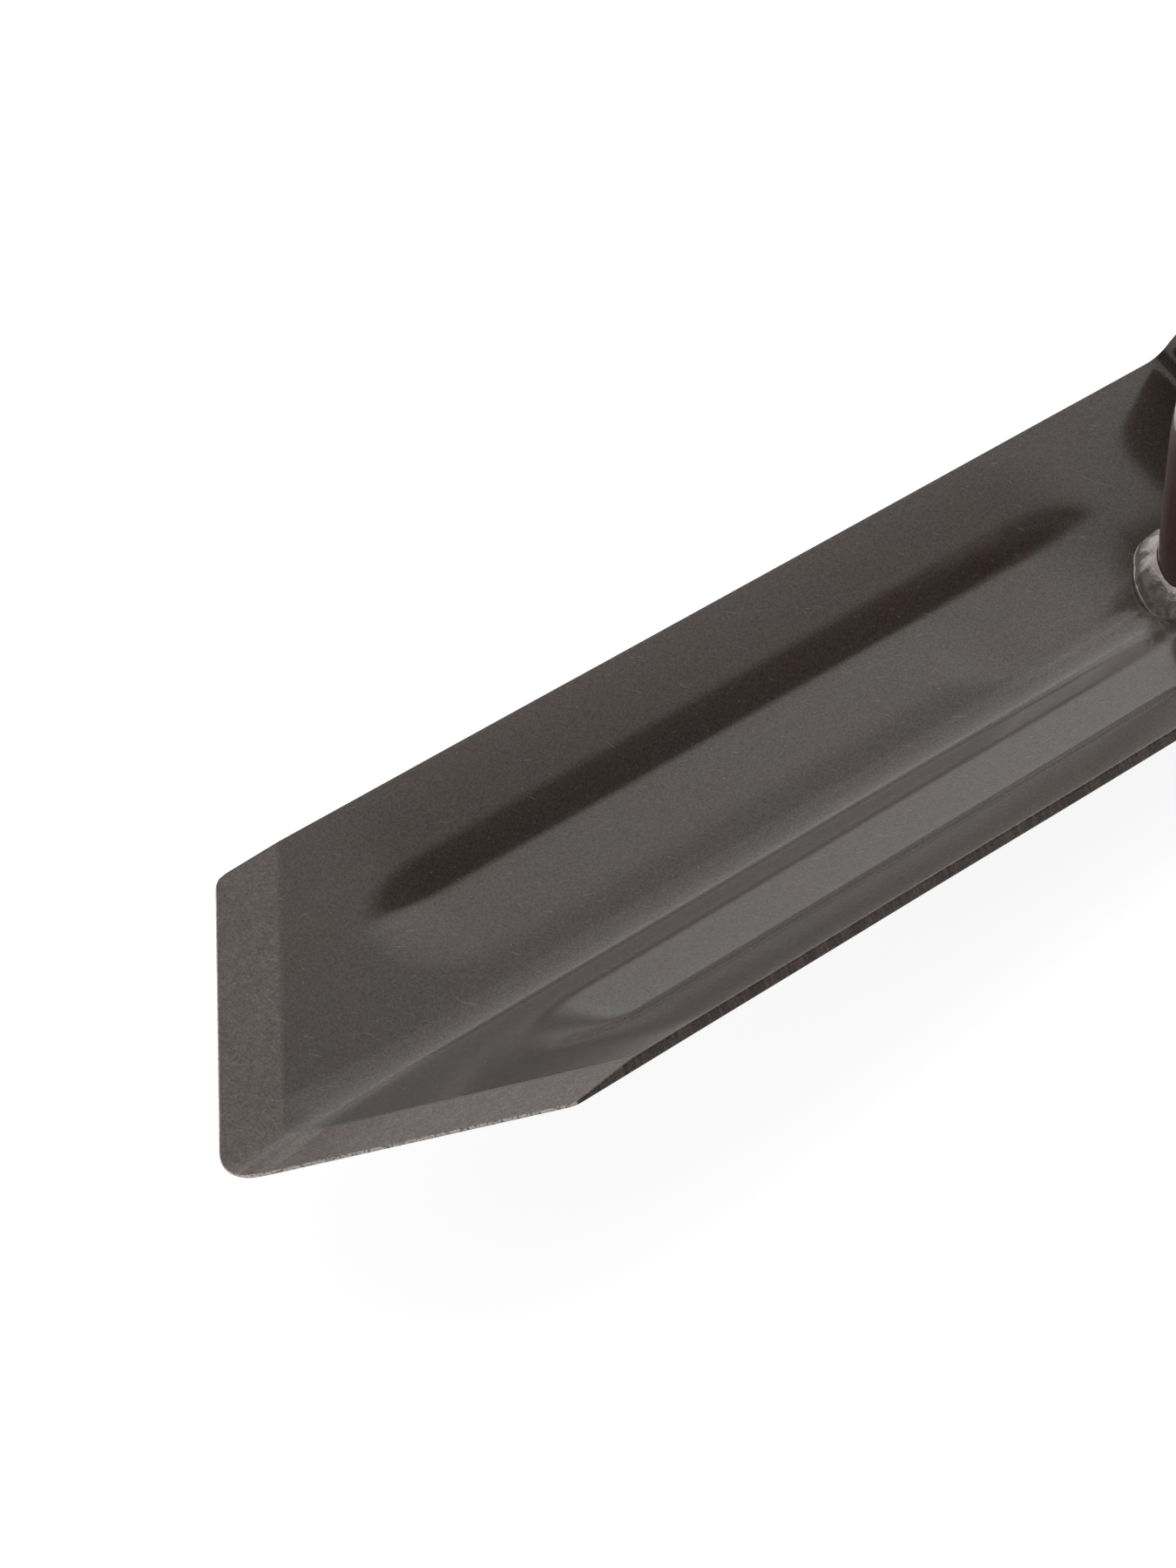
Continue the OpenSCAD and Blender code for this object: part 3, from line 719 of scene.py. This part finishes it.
def grown(name, tree, numbers):
    # A plain mesh made by the tree with these numbers
    piece = makeMesh(name, [], [])
    modifier = piece.modifiers.new("shape", "NODES")
    modifier.node_group = tree
    for item in tree.interface.items_tree:
        if item.in_out == "INPUT":
            modifier[item.identifier] = numbers[item.name]
    return applied(piece)


def joined(wire, x, y, z):
    return wire.node("ShaderNodeCombineXYZ", {}, {0: x, 1: y, 2: z})


def placed(wire, mesh, place, socket="Position"):
    return wire.node("GeometryNodeSetPosition", {}, {0: mesh, socket: place})


def sheetInside(wire, y):
    # Height of the inner face of the fold at a distance from the middle
    away = wire.math("ABSOLUTE", y)
    turn = away.atMost(blade["foldRadius"] * cosine)
    arc = foldCentre - (blade["foldRadius"] ** 2 - turn * turn).root()
    return arc + (away - blade["foldRadius"] * cosine).atLeast(0.0) * (cosine / sine)


def gridPlace(wire, columns, rows):
    # A grid of points, with the place of each as two shares from 0 to 1
    mesh = wire.node("GeometryNodeMeshGrid", {}, {"Vertices X": columns, "Vertices Y": rows})
    x, y = wire.node("GeometryNodeInputPosition").parts()[:2]
    return mesh, x + 0.5, y + 0.5


# The neck: a tube that stands on the fold and bends back along the shaft
neck = {
    "rise": 50.0,
    "bendRadius": 50.0,
    "run": 50.0,
    "radius": 12.5,
    "startHeight": 4.2,
    "lift": spade["gap"],
    "saddleRun": 26.0,        # of the foot, over which it takes the form of the fold
    "steps": 150,
}
neckWall = 2.5


def tubeTree(numbers):
    wire, given = startShape("bentTube", numbers)
    line = wire.node("GeometryNodeMeshLine", {}, {"Count": given.steps})
    index = wire.node("GeometryNodeInputIndex")
    quarter = given.bendRadius * (math.pi / 2)
    upright = given.rise - given.startHeight
    travel = index / (given.steps - 1) * (upright + quarter + given.run)
    bent = (travel - upright).atLeast(0.0).atMost(quarter)
    turn = bent / given.bendRadius
    beyond = (travel - upright - quarter).atLeast(0.0)
    x = given.bendRadius * (1 - turn.cos()) + beyond + spade["neckAt"]
    z = given.startHeight + travel.atMost(upright) + given.bendRadius * turn.sin()
    path = wire.node("GeometryNodeMeshToCurve", {}, {
        0: placed(wire, line, joined(wire, x, 0.0, z))})
    ring = wire.node("GeometryNodeCurvePrimitiveCircle", {}, {
        "Resolution": 96, "Radius": given.radius})
    tube = wire.node("GeometryNodeCurveToMesh", {}, {0: path, "Profile Curve": ring})
    y, z = wire.node("GeometryNodeInputPosition").parts()[1:]
    saddle = sheetInside(wire, y) + given.lift - given.startHeight
    low = given.startHeight
    drop = saddle * z.between(low, low + given.saddleRun, 1.0, 0.0)
    tube = placed(wire, tube, joined(wire, 0.0, 0.0, drop), "Offset")
    return finishShape(wire, tube, "tube_steel")


neckTube = grown("neckTube", tubeTree(neck), neck)
wall = neckTube.modifiers.new("wall", "SOLIDIFY")
wall.thickness = neckWall
wall.offset = -1
wall.use_even_offset = True
applied(neckTube)
settle(neckTube, "tube_steel", "neck_tube")

# Weld beads: a ring of crescent ripples laid one over the other
neckBead = {
    "inner": 12.7,
    "leg": 6.0,
    "rise": 8.0,
    "ripples": 7,
    "swell": 0.22,
    "wander": 1.25,
    "saddle": 1.0,
    "wash": 0.42,
    "washAt": 2.45,
    "seed": 3.0,
}
socketBead = {
    "inner": 12.7,
    "leg": 3.2,
    "rise": 3.2,
    "ripples": 34,
    "swell": 0.26,
    "wander": 0.22,
    "saddle": 0.0,
    "wash": 0.0,
    "washAt": 0.0,
    "seed": 8.0,
}
beadSteps = {
    "round": 521,
    "across": 41,
    "topEnd": 0.8,            # share of the rows where the top of the bead ends
    "sideEnd": 0.9,           # and its inner side; the rest lies under it
}


def beadTree(numbers):
    wire, given = startShape("weldBead", numbers)
    mesh, around, over = gridPlace(wire, beadSteps["round"], beadSteps["across"])
    angle = around * math.tau
    topEnd, sideEnd = beadSteps["topEnd"], beadSteps["sideEnd"]
    turn = (over / topEnd).atMost(1.0) * (math.pi / 2)
    down = over.ramp(topEnd, sideEnd - topEnd)
    back = (over - sideEnd).atLeast(0.0) / (1 - sideEnd)
    ringPlace = joined(wire, angle.cos(), angle.sin(), given.seed)
    drift = ringPlace.noise(2.3) - 0.5
    slow = ringPlace.noise(1.1, 1, 0.5) - 0.5
    middle = turn / (math.pi / 2) - 0.45
    phase = around * given.ripples + middle * middle * 1.5 + drift * 1.6 + 8.0
    ramp = wire.math("FRACT", phase)
    ripple = ramp.between(0.0, 0.72) * ramp.between(0.74, 1.0, 1.0, 0.0)
    belly = (turn * 2.0).sin()
    swell = (ripple - 0.55) * given.swell * belly + slow * given.wander * belly
    toe = (drift + slow) * given.wander
    leg = given.leg + toe * 0.6 - 0.15
    out = leg * turn.cos() + swell * turn.cos()
    # On one side the bead is a thin wash with a rim, on the other a blob
    washed = (angle - given.washAt).cos().between(0.1, 0.9) * given.wash
    rim = (over.between(0.10, 0.22) * over.between(0.24, 0.40, 1.0, 0.0)) * washed * 1.6
    rise = (given.rise + toe * 0.5 - 0.2) * turn.sin() * (1 - down)
    rise = rise * (1 - washed * turn.cos()) - rim
    rise = rise + swell * turn.sin()
    radius = given.inner + out + leg * back
    y = radius * angle.sin()
    saddle = (sheetInside(wire, y) + spade["gap"]) * given.saddle
    place = joined(wire, radius * angle.cos(), y, rise + saddle)
    return finishShape(wire, placed(wire, mesh, place), "weld_steel")


beads = beadTree(neckBead)
neckWeld = grown("neckWeld", beads, neckBead)
neckWeld.data.transform(Matrix.Translation((spade["neckAt"], 0, 0)))
settle(neckWeld, "weld_steel", "neck_weld", sharpAngle=50)

socketWeld = grown("socketWeld", beads, socketBead)
onShaft = Matrix.Translation((spade["socketAt"] - spade["gap"], 0, spade["axisHeight"]))
socketWeld.data.transform(onShaft @ Matrix.Rotation(-math.pi / 2, 4, "Y"))
settle(socketWeld, "weld_steel", "socket_weld", sharpAngle=50)


def rounded(outline, radius, steps=4):
    # The corners of a closed half outline, each cut by a small arc; the axis stays sharp
    result = []
    for here, at in enumerate(outline):
        before, after = Vector(outline[here - 1]), Vector(outline[(here + 1) % len(outline)])
        corner = Vector(at)
        inward, outward = before - corner, after - corner
        shorter = min(inward.length, outward.length)
        if at[1] <= 0 or shorter < radius * 1.5 or inward.angle(outward) > math.radians(174):
            result.append(tuple(corner))
            continue
        half = inward.angle(outward) / 2
        reach = min(radius / math.tan(half), 0.45 * shorter)
        size = reach * math.tan(half)
        centre = corner + (inward.normalized() + outward.normalized()).normalized() * (
            size / math.sin(half))
        first = corner + inward.normalized() * reach - centre
        last = corner + outward.normalized() * reach - centre
        for step in range(steps + 1):
            share = step / steps
            spoke = (first * (1 - share) + last * share).normalized() * size
            result.append(tuple(centre + spoke))
    return result


def filled(outline, step):
    # More points along the long lines of an outline
    result = []
    for here, at in enumerate(outline):
        following = Vector(outline[(here + 1) % len(outline)])
        at = Vector(at)
        count = max(1, int((following - at).length / step))
        if at[1] <= 0 and following[1] <= 0:
            count = 1
        result += [tuple(at.lerp(following, share / count)) for share in range(count)]
    return result


def turned(name, outline, sides, place, unevenness=None):
    # A closed half outline of (along, radius) turned about its axis
    points, faces, rings = [], [], []
    for alongAxis, radius in outline:
        start = len(points)
        if radius <= 1e-6:
            points.append((alongAxis, 0.0, 0.0))
            rings.append([start] * sides)
            continue
        for side in range(sides):
            angle = side / sides * math.tau
            size = radius + (unevenness(alongAxis, angle) if unevenness else 0)
            points.append((alongAxis, size * math.cos(angle), size * math.sin(angle)))
        rings.append(list(range(start, start + sides)))
    for ring, following in zip(rings, rings[1:] + rings[:1]):
        if ring[0] == ring[-1] and following[0] == following[-1]:
            continue
        for side in range(sides):
            beside = (side + 1) % sides
            face = dict.fromkeys((ring[side], ring[beside], following[beside], following[side]))
            faces.append(tuple(face))
    piece = makeMesh(name, points, faces)
    piece.data.transform(place)
    return piece


shaftAxis = Matrix.Translation((0, 0, spade["axisHeight"]))
acrossAxis = (Matrix.Translation((spade["barAt"], 0, spade["axisHeight"]))
              @ Matrix.Rotation(math.pi / 2, 4, "Z"))

# The socket: a collar on the neck tube that opens into a cone for the shaft
socket = {
    "collar": 12.7,
    "mouth": 18.2,
    "wall": 2.2,
    "coneAt": 455.5,
    "rivets": (513.5, 545.5),
    "rivetHead": 5.7,
    "rivetRise": 3.0,
    "rivetShank": 3.0,
}


def socketPiece():
    front, cone, mouth = spade["socketAt"], socket["coneAt"], spade["socketEnd"]
    wall = socket["wall"]
    outline = [(front, socket["collar"]), (front, socket["collar"] + wall),
               (cone, socket["collar"] + wall), (mouth, socket["mouth"] + wall),
               (mouth, socket["mouth"]), (cone, socket["collar"])]

    def dents(place, angle):
        return 0.05 * math.sin(place / 13 + 2 * angle) * math.sin(angle + place / 29)
    return turned("socket", filled(rounded(outline, 0.6), 4.0), 112, shaftAxis, dents)


settle(socketPiece(), "socket_steel", "socket")

# Rivets across the tool, their domed heads seated on the round of what they hold
rivetSteps = {
    "round": 65,
    "over": 41,
    "domeEnd": 0.7,           # share of the rows where the dome ends
    "skirtEnd": 0.85,         # and the side of the head; the rest lies under it
}
yokeRivets = {
    "at": (983.5, 1022.5),
    "shape": {"surface": 18.4, "headRadius": 4.75, "headRise": 2.5, "shank": 2.5},
}


def rivetTree(numbers):
    wire, given = startShape("crossRivet", numbers)
    mesh, around, over = gridPlace(wire, rivetSteps["round"], rivetSteps["over"])
    angle = around * math.tau
    domeEnd, skirtEnd = rivetSteps["domeEnd"], rivetSteps["skirtEnd"]
    dome = (over / domeEnd).atMost(1.0)
    skirt = over.ramp(domeEnd, skirtEnd - domeEnd)
    under = (over - skirtEnd).atLeast(0.0) / (1 - skirtEnd)
    radius = given.headRadius * (dome * (math.pi / 2)).sin() * (1 - under)
    x = radius * angle.cos()
    y = radius * angle.sin()
    seat = (given.surface ** 2.0 - y * y).root() + x * given.slope
    flat = (dome * (math.pi / 2)).sin() ** 2.6
    struck = joined(wire, x, y, given.seed).noise(0.45) - 0.5
    top = given.surface + given.headRise * (1 - flat * 0.86) + struck * 0.30 * (1 - flat)
    lip = given.surface + given.headRise * 0.14
    height = top + (seat - lip) * skirt
    height = height + (seat - height) * (under * 1000.0).atMost(1.0)
    head = placed(wire, mesh, joined(wire, x, y, height))
    ends = wire.node("GeometryNodeMeshLine", {}, {"Count": 2, "Offset": (0.0, 0.0, 0.0)})
    index = wire.node("GeometryNodeInputIndex")
    heads = wire.node("GeometryNodeInstanceOnPoints", {}, {
        0: ends, "Instance": head, "Rotation": joined(wire, index * math.pi, 0.0, 0.0)})
    shank = wire.node("GeometryNodeMeshCylinder", {}, {
        "Vertices": 32, "Radius": given.shank, "Depth": given.surface * 2.0 + 0.4})
    both = wire.node("GeometryNodeJoinGeometry", {}, {0: heads})
    wire.tree.links.new(shank.socket, both.socket.node.inputs[0])
    return finishShape(wire, both, "rivet_steel")


rivetRow = []
for label, at in zip(("Front", "Rear"), socket["rivets"]):
    taper = (socket["mouth"] - socket["collar"]) / (spade["socketEnd"] - socket["coneAt"])
    surface = socket["collar"] + taper * (at - socket["coneAt"]) + socket["wall"]
    rivetRow.append(("socketRivet" + label, "socket_rivet_" + label.lower(), at, {
        "surface": surface + spade["gap"], "slope": taper, "headRadius": socket["rivetHead"],
        "headRise": socket["rivetRise"], "shank": socket["rivetShank"], "seed": at}))
for label, at in zip(("Front", "Rear"), yokeRivets["at"]):
    rivetRow.append(("yokeRivet" + label, "yoke_rivet_" + label.lower(), at, {
        **yokeRivets["shape"], "slope": 0.0, "seed": at}))
rivets = rivetTree(rivetRow[0][3])
for name, node, at, numbers in rivetRow:
    rivet = grown(name, rivets, numbers)
    rivet.data.transform(Matrix.Translation((at, 0, spade["axisHeight"]))
                         @ Matrix.Rotation(-math.pi / 2, 4, "X"))
    settle(rivet, "rivet_steel", node, sharpAngle=40)

# The shaft: round ash, tapered into the socket and again into the yoke
shaft = {
    "nose": 458.5,
    "noseRadius": 12.65,
    "radius": 18.0,
    "taperAt": 855.5,
    "ferruleAt": spade["ferruleAt"] - spade["gap"],
    "endRadius": 15.5,
    "bareFrom": 4.0,          # hand work begins this far from the socket and the yoke
    "bevel": 3.0,
    "handWork": 0.09,
}


def shaftPiece():
    outline = [(shaft["nose"], 0), (shaft["nose"], shaft["noseRadius"]),
               (spade["socketEnd"], shaft["radius"]), (shaft["taperAt"], shaft["radius"]),
               (shaft["ferruleAt"], shaft["endRadius"]),
               (spade["shaftEnd"] - shaft["bevel"], shaft["endRadius"]),
               (spade["shaftEnd"], shaft["endRadius"] - shaft["bevel"]), (spade["shaftEnd"], 0)]

    def sanding(place, angle):
        worn = math.sin(place / 41 + 1.7 * math.sin(place / 97)) * math.cos(2 * angle + 0.6)
        margin = shaft["bareFrom"]
        bare = spade["socketEnd"] + margin < place < shaft["ferruleAt"] - margin
        return bare * shaft["handWork"] * (worn - 1)
    return turned("shaft", filled(rounded(outline, 0.7), 5.0), 128, shaftAxis, sanding)


settle(shaftPiece(), "ash_wood", "shaft")

# Each half of the yoke: half a ferrule that flattens as it flares out to its ear
yoke = {
    "start": spade["ferruleAt"],
    "crotch": spade["shaftEnd"],
    "flareEnd": 1110.0,
    "bar": spade["barAt"],
    "ear": 19.0,
    "armAt": 62.25,
    "ferruleRadius": 16.95,
    "armHalf": 12.5,
    "waistAt": 0.5,
    "flatness": 0.98,
    "ferruleAngle": math.radians(80),
    "blend": 1.6,
}
yokeGrid = {
    "along": 190,
    "across": 33,
    "straightRows": 0.72,     # share of the rows before the bar, and round the ear
    "earRows": 0.28,
    "earFrom": (1098.0, 1106.0),
    "thickness": 2.5,
    "edge": 0.55,
}


def ease(t):
    return t * t * (3 - t * 2)


def yokeTree(numbers):
    wire, given = startShape("yokeHalf", numbers)
    mesh, over, run = gridPlace(wire, yokeGrid["across"], yokeGrid["along"])
    # Rows crowd towards the round end of the ear
    reach = given.bar + given.ear
    straight = (run / yokeGrid["straightRows"]).atMost(1.0)
    turning = (run - yokeGrid["straightRows"]).atLeast(0.0) / yokeGrid["earRows"]
    x = given.start + (given.bar - given.start) * straight
    x = x + (reach - given.bar) * (turning * (math.pi / 2)).sin()
    flare, spread = given.flareEnd - given.crotch, given.armAt - given.ferruleRadius
    t = x.ramp(given.crotch, flare)
    y = given.ferruleRadius + spread * ease(t)
    lean = wire.math("ARCTANGENT", spread * 6.0 * t * (1 - t) / flare)
    early = ease((t / given.waistAt).atMost(1.0))
    ferruleHalf = given.ferruleRadius * given.ferruleAngle.sin()
    half = ferruleHalf + (given.armHalf - ferruleHalf) * early
    pastBar = x - given.bar
    ear = (given.ear ** 2.0 - pastBar * pastBar).atLeast(0.0).root()
    ear = ear * x.between(*yokeGrid["earFrom"])
    wide = wire.math("SMOOTH_MAX", half, ear, given.blend)
    half = wide + (ear - wide) * x.between(given.bar - 1.0, given.bar + 6.0)
    curve = given.ferruleRadius / ((1 - t * given.flatness) ** 2.0)
    angle = wire.math("ARCSINE", half / curve) * (over * 2.0 - 1.0)
    inward = curve * (angle.cos() - 1.0)
    place = joined(wire, x - inward * lean.sin(), y + inward * lean.cos(),
                   curve * angle.sin() + spade["axisHeight"])
    return finishShape(wire, placed(wire, mesh, place), "yoke_steel")


yokeShape = yokeTree(yoke)
for label, side in (("Left", 1), ("Right", -1)):
    strap = grown("yoke" + label, yokeShape, yoke)
    strap.data.transform(Matrix.Scale(side, 4, (0, 1, 0)))
    body = strap.modifiers.new("thickness", "SOLIDIFY")
    body.thickness = yokeGrid["thickness"]
    body.offset = 0
    body.use_even_offset = True
    body.thickness_clamp = 0
    edges = strap.modifiers.new("edges", "BEVEL")
    edges.width = yokeGrid["edge"]
    edges.segments = 3
    edges.limit_method = "ANGLE"
    edges.angle_limit = math.radians(50)
    applied(strap)
    settle(strap, "yoke_steel", "yoke_" + label.lower())

# The hand bar: a turned barrel on a rod, riveted over a washer at each ear
grip = {
    "barHalf": 60.8,
    "barRadius": 16.5,
    "barEndRadius": 14.0,
    "bore": 4.1,
    "rodRadius": 4.0,
    "washerInside": 63.7,
    "washerOutside": 65.2,
    "washerRadius": 10.0,
    "headRadius": 7.5,
    "headRise": 4.5,
    "headAt": 65.4,
}


def gripPieces():
    crown = grip["barRadius"] - grip["barEndRadius"]
    barrel = (grip["barHalf"] ** 2 + crown ** 2) / (2 * crown)
    stations = np.linspace(-grip["barHalf"], grip["barHalf"], 61)
    outline = [(-grip["barHalf"], grip["bore"])]
    outline += [(at, grip["barRadius"] - barrel + math.sqrt(barrel ** 2 - at ** 2))
                for at in stations]
    outline.append((grip["barHalf"], grip["bore"]))

    def sanding(place, angle):
        return -0.05 - 0.05 * math.sin(place / 11 + 3 * angle)
    bar = turned("gripBar", filled(rounded(outline, 1.2), 2.5), 112, acrossAxis, sanding)
    settle(bar, "bar_wood", "grip_bar")

    dome = []
    for step in range(13):
        angle = step / 12 * math.pi / 2
        rise = math.cos(angle) ** 1.15 * (grip["headRise"] - 0.7)
        dome.append((grip["headAt"] + 0.7 + rise, grip["headRadius"] * math.sin(angle)))
    half = dome + [(grip["headAt"], grip["headRadius"]), (grip["headAt"], grip["rodRadius"])]
    mirrored = [(-at, radius) for at, radius in reversed(half)]

    def struck(place, angle):
        return -0.12 * (1 + math.sin(3 * angle + place)) * (abs(place) > grip["headAt"] + 0.5)
    rod = turned("gripRod", rounded(half + mirrored, 0.3), 72, acrossAxis, struck)
    settle(rod, "rivet_steel", "grip_rod", sharpAngle=45)

    for label, side in (("Left", 1), ("Right", -1)):
        inside, outside = side * grip["washerInside"], side * grip["washerOutside"]
        washer = [(inside, grip["bore"]), (inside, grip["washerRadius"]),
                  (outside, grip["washerRadius"]), (outside, grip["bore"])]
        disc = turned("washer" + label, rounded(washer, 0.25), 80, acrossAxis)
        settle(disc, "rivet_steel", "grip_washer_" + label.lower())


gripPieces()
print("pieces ready")

# A white room: pale floor, one large soft light over the tool, dim elsewhere
room = {
    "floorSize": 14.0,
    "floorTone": 0.30,
    "floorGlow": 0.88,
    "softLight": colour(1.0, 0.985, 0.965),
    "softboxes": {            # place, size, power
        "softbox": ((1.2, 1.575, 1.25), (3.4, 3.25), 43.0),
        "innerStrip": ((1.2, -0.125, 1.25), (3.4, 0.15), 1.52),
        "middleStrip": ((1.2, -0.27, 1.25), (3.4, 0.14), 0.94),
        "outerStrip": ((1.2, -0.41, 1.25), (3.4, 0.14), 0.45),
    },
    "fill": 0.50,
    "dim": 0.10,
}


def seenRays(wire):
    # 1 for what the camera, a reflection or clear matter sees, 0 for soft light
    seen, glossy, through = (wire.node("ShaderNodeLightPath", out=out) for out in (0, 3, 6))
    return (seen + glossy + through).atMost(1.0)


def setRoom():
    half = room["floorSize"] / 2
    floor = makeMesh("floor", [(-half, -half, 0), (half, -half, 0), (half, half, 0),
                               (-half, half, 0)], [(0, 1, 2, 3)])
    material, wire = startMaterial("floorPaint")
    place = wire.node("ShaderNodeTexCoord", out=3)
    tone = place.noise(1.2)
    base = tone.mixed(grey(room["floorTone"]), grey(room["floorTone"] - 0.01))
    glow = seenRays(wire).mixed(grey(0.0), grey(room["floorGlow"]))
    finishMaterial(wire, {
        "Base Color": base, "Roughness": 0.9, "Specular IOR Level": 0.0,
        "Emission Color": glow, "Emission Strength": 1.0})
    floor.data.materials.append(material)

    world = bpy.data.worlds.new("room")
    bpy.context.scene.world = world
    world.use_nodes = True
    wire = Wire(world.node_tree)
    world.node_tree.nodes.clear()
    height = wire.node("ShaderNodeTexCoord").parts()[2]
    horizon = height.between(0.20, 0.38, 1.0, 0.0)
    dim, white, soft = (
        wire.node("ShaderNodeBackground", {}, {"Color": grey(1.0), "Strength": strength})
        for strength in (room["dim"], 1.0, room["fill"]))
    reflected = wire.node("ShaderNodeMixShader", {}, {0: horizon, 1: dim, 2: white})
    shown = wire.node("ShaderNodeMixShader", {}, {0: seenRays(wire), 1: soft, 2: reflected})
    wire.node("ShaderNodeOutputWorld", {}, {"Surface": shown})

    for name, (place, size, power) in room["softboxes"].items():
        lamp = bpy.data.lights.new(name, "AREA")
        lamp.shape = "RECTANGLE"
        lamp.size, lamp.size_y = size
        lamp.energy = power
        lamp.color = room["softLight"][:3]
        holder = bpy.data.objects.new(name, lamp)
        holder.location = place
        bpy.context.scene.collection.objects.link(holder)


# The photograph's view, from in front of the blade's left side, looking down
view = {
    "target": (200.0, 0.0, 10.0),
    "azimuth": 42.382,
    "elevation": 34.983,
    "roll": 2.636,
    "aside": (-54.03, 6.119),
    "distance": 1596.05,
    "focal": 7374.6,
    "pixels": 1350,
    "sensor": 36.0,
}


def setCamera():
    azimuth, elevation, roll = (math.radians(view[key])
                                for key in ("azimuth", "elevation", "roll"))
    back = Vector((-math.cos(elevation) * math.cos(azimuth),
                   -math.cos(elevation) * math.sin(azimuth), math.sin(elevation)))
    level = Vector((0, 0, 1)).cross(back).normalized()
    up = back.cross(level)
    right = level * math.cos(roll) + up * math.sin(roll)
    up = up * math.cos(roll) - level * math.sin(roll)
    place = (Vector(view["target"]) + back * view["distance"] + right * view["aside"][0]
             + up * view["aside"][1])
    data = bpy.data.cameras.new("camera")
    data.sensor_fit = "HORIZONTAL"
    data.sensor_width = view["sensor"]
    data.lens = view["focal"] / view["pixels"] * view["sensor"]
    data.clip_start = 0.05
    data.clip_end = 60
    camera = bpy.data.objects.new("camera", data)
    turn = toolAxes @ Matrix((right, up, back)).transposed()
    camera.matrix_world = Matrix.Translation(atRest @ place) @ turn.to_4x4()
    bpy.context.scene.collection.objects.link(camera)
    bpy.context.scene.camera = camera


setRoom()
setCamera()
bpy.context.scene.view_settings.view_transform = "Standard"
print("room and camera ready")
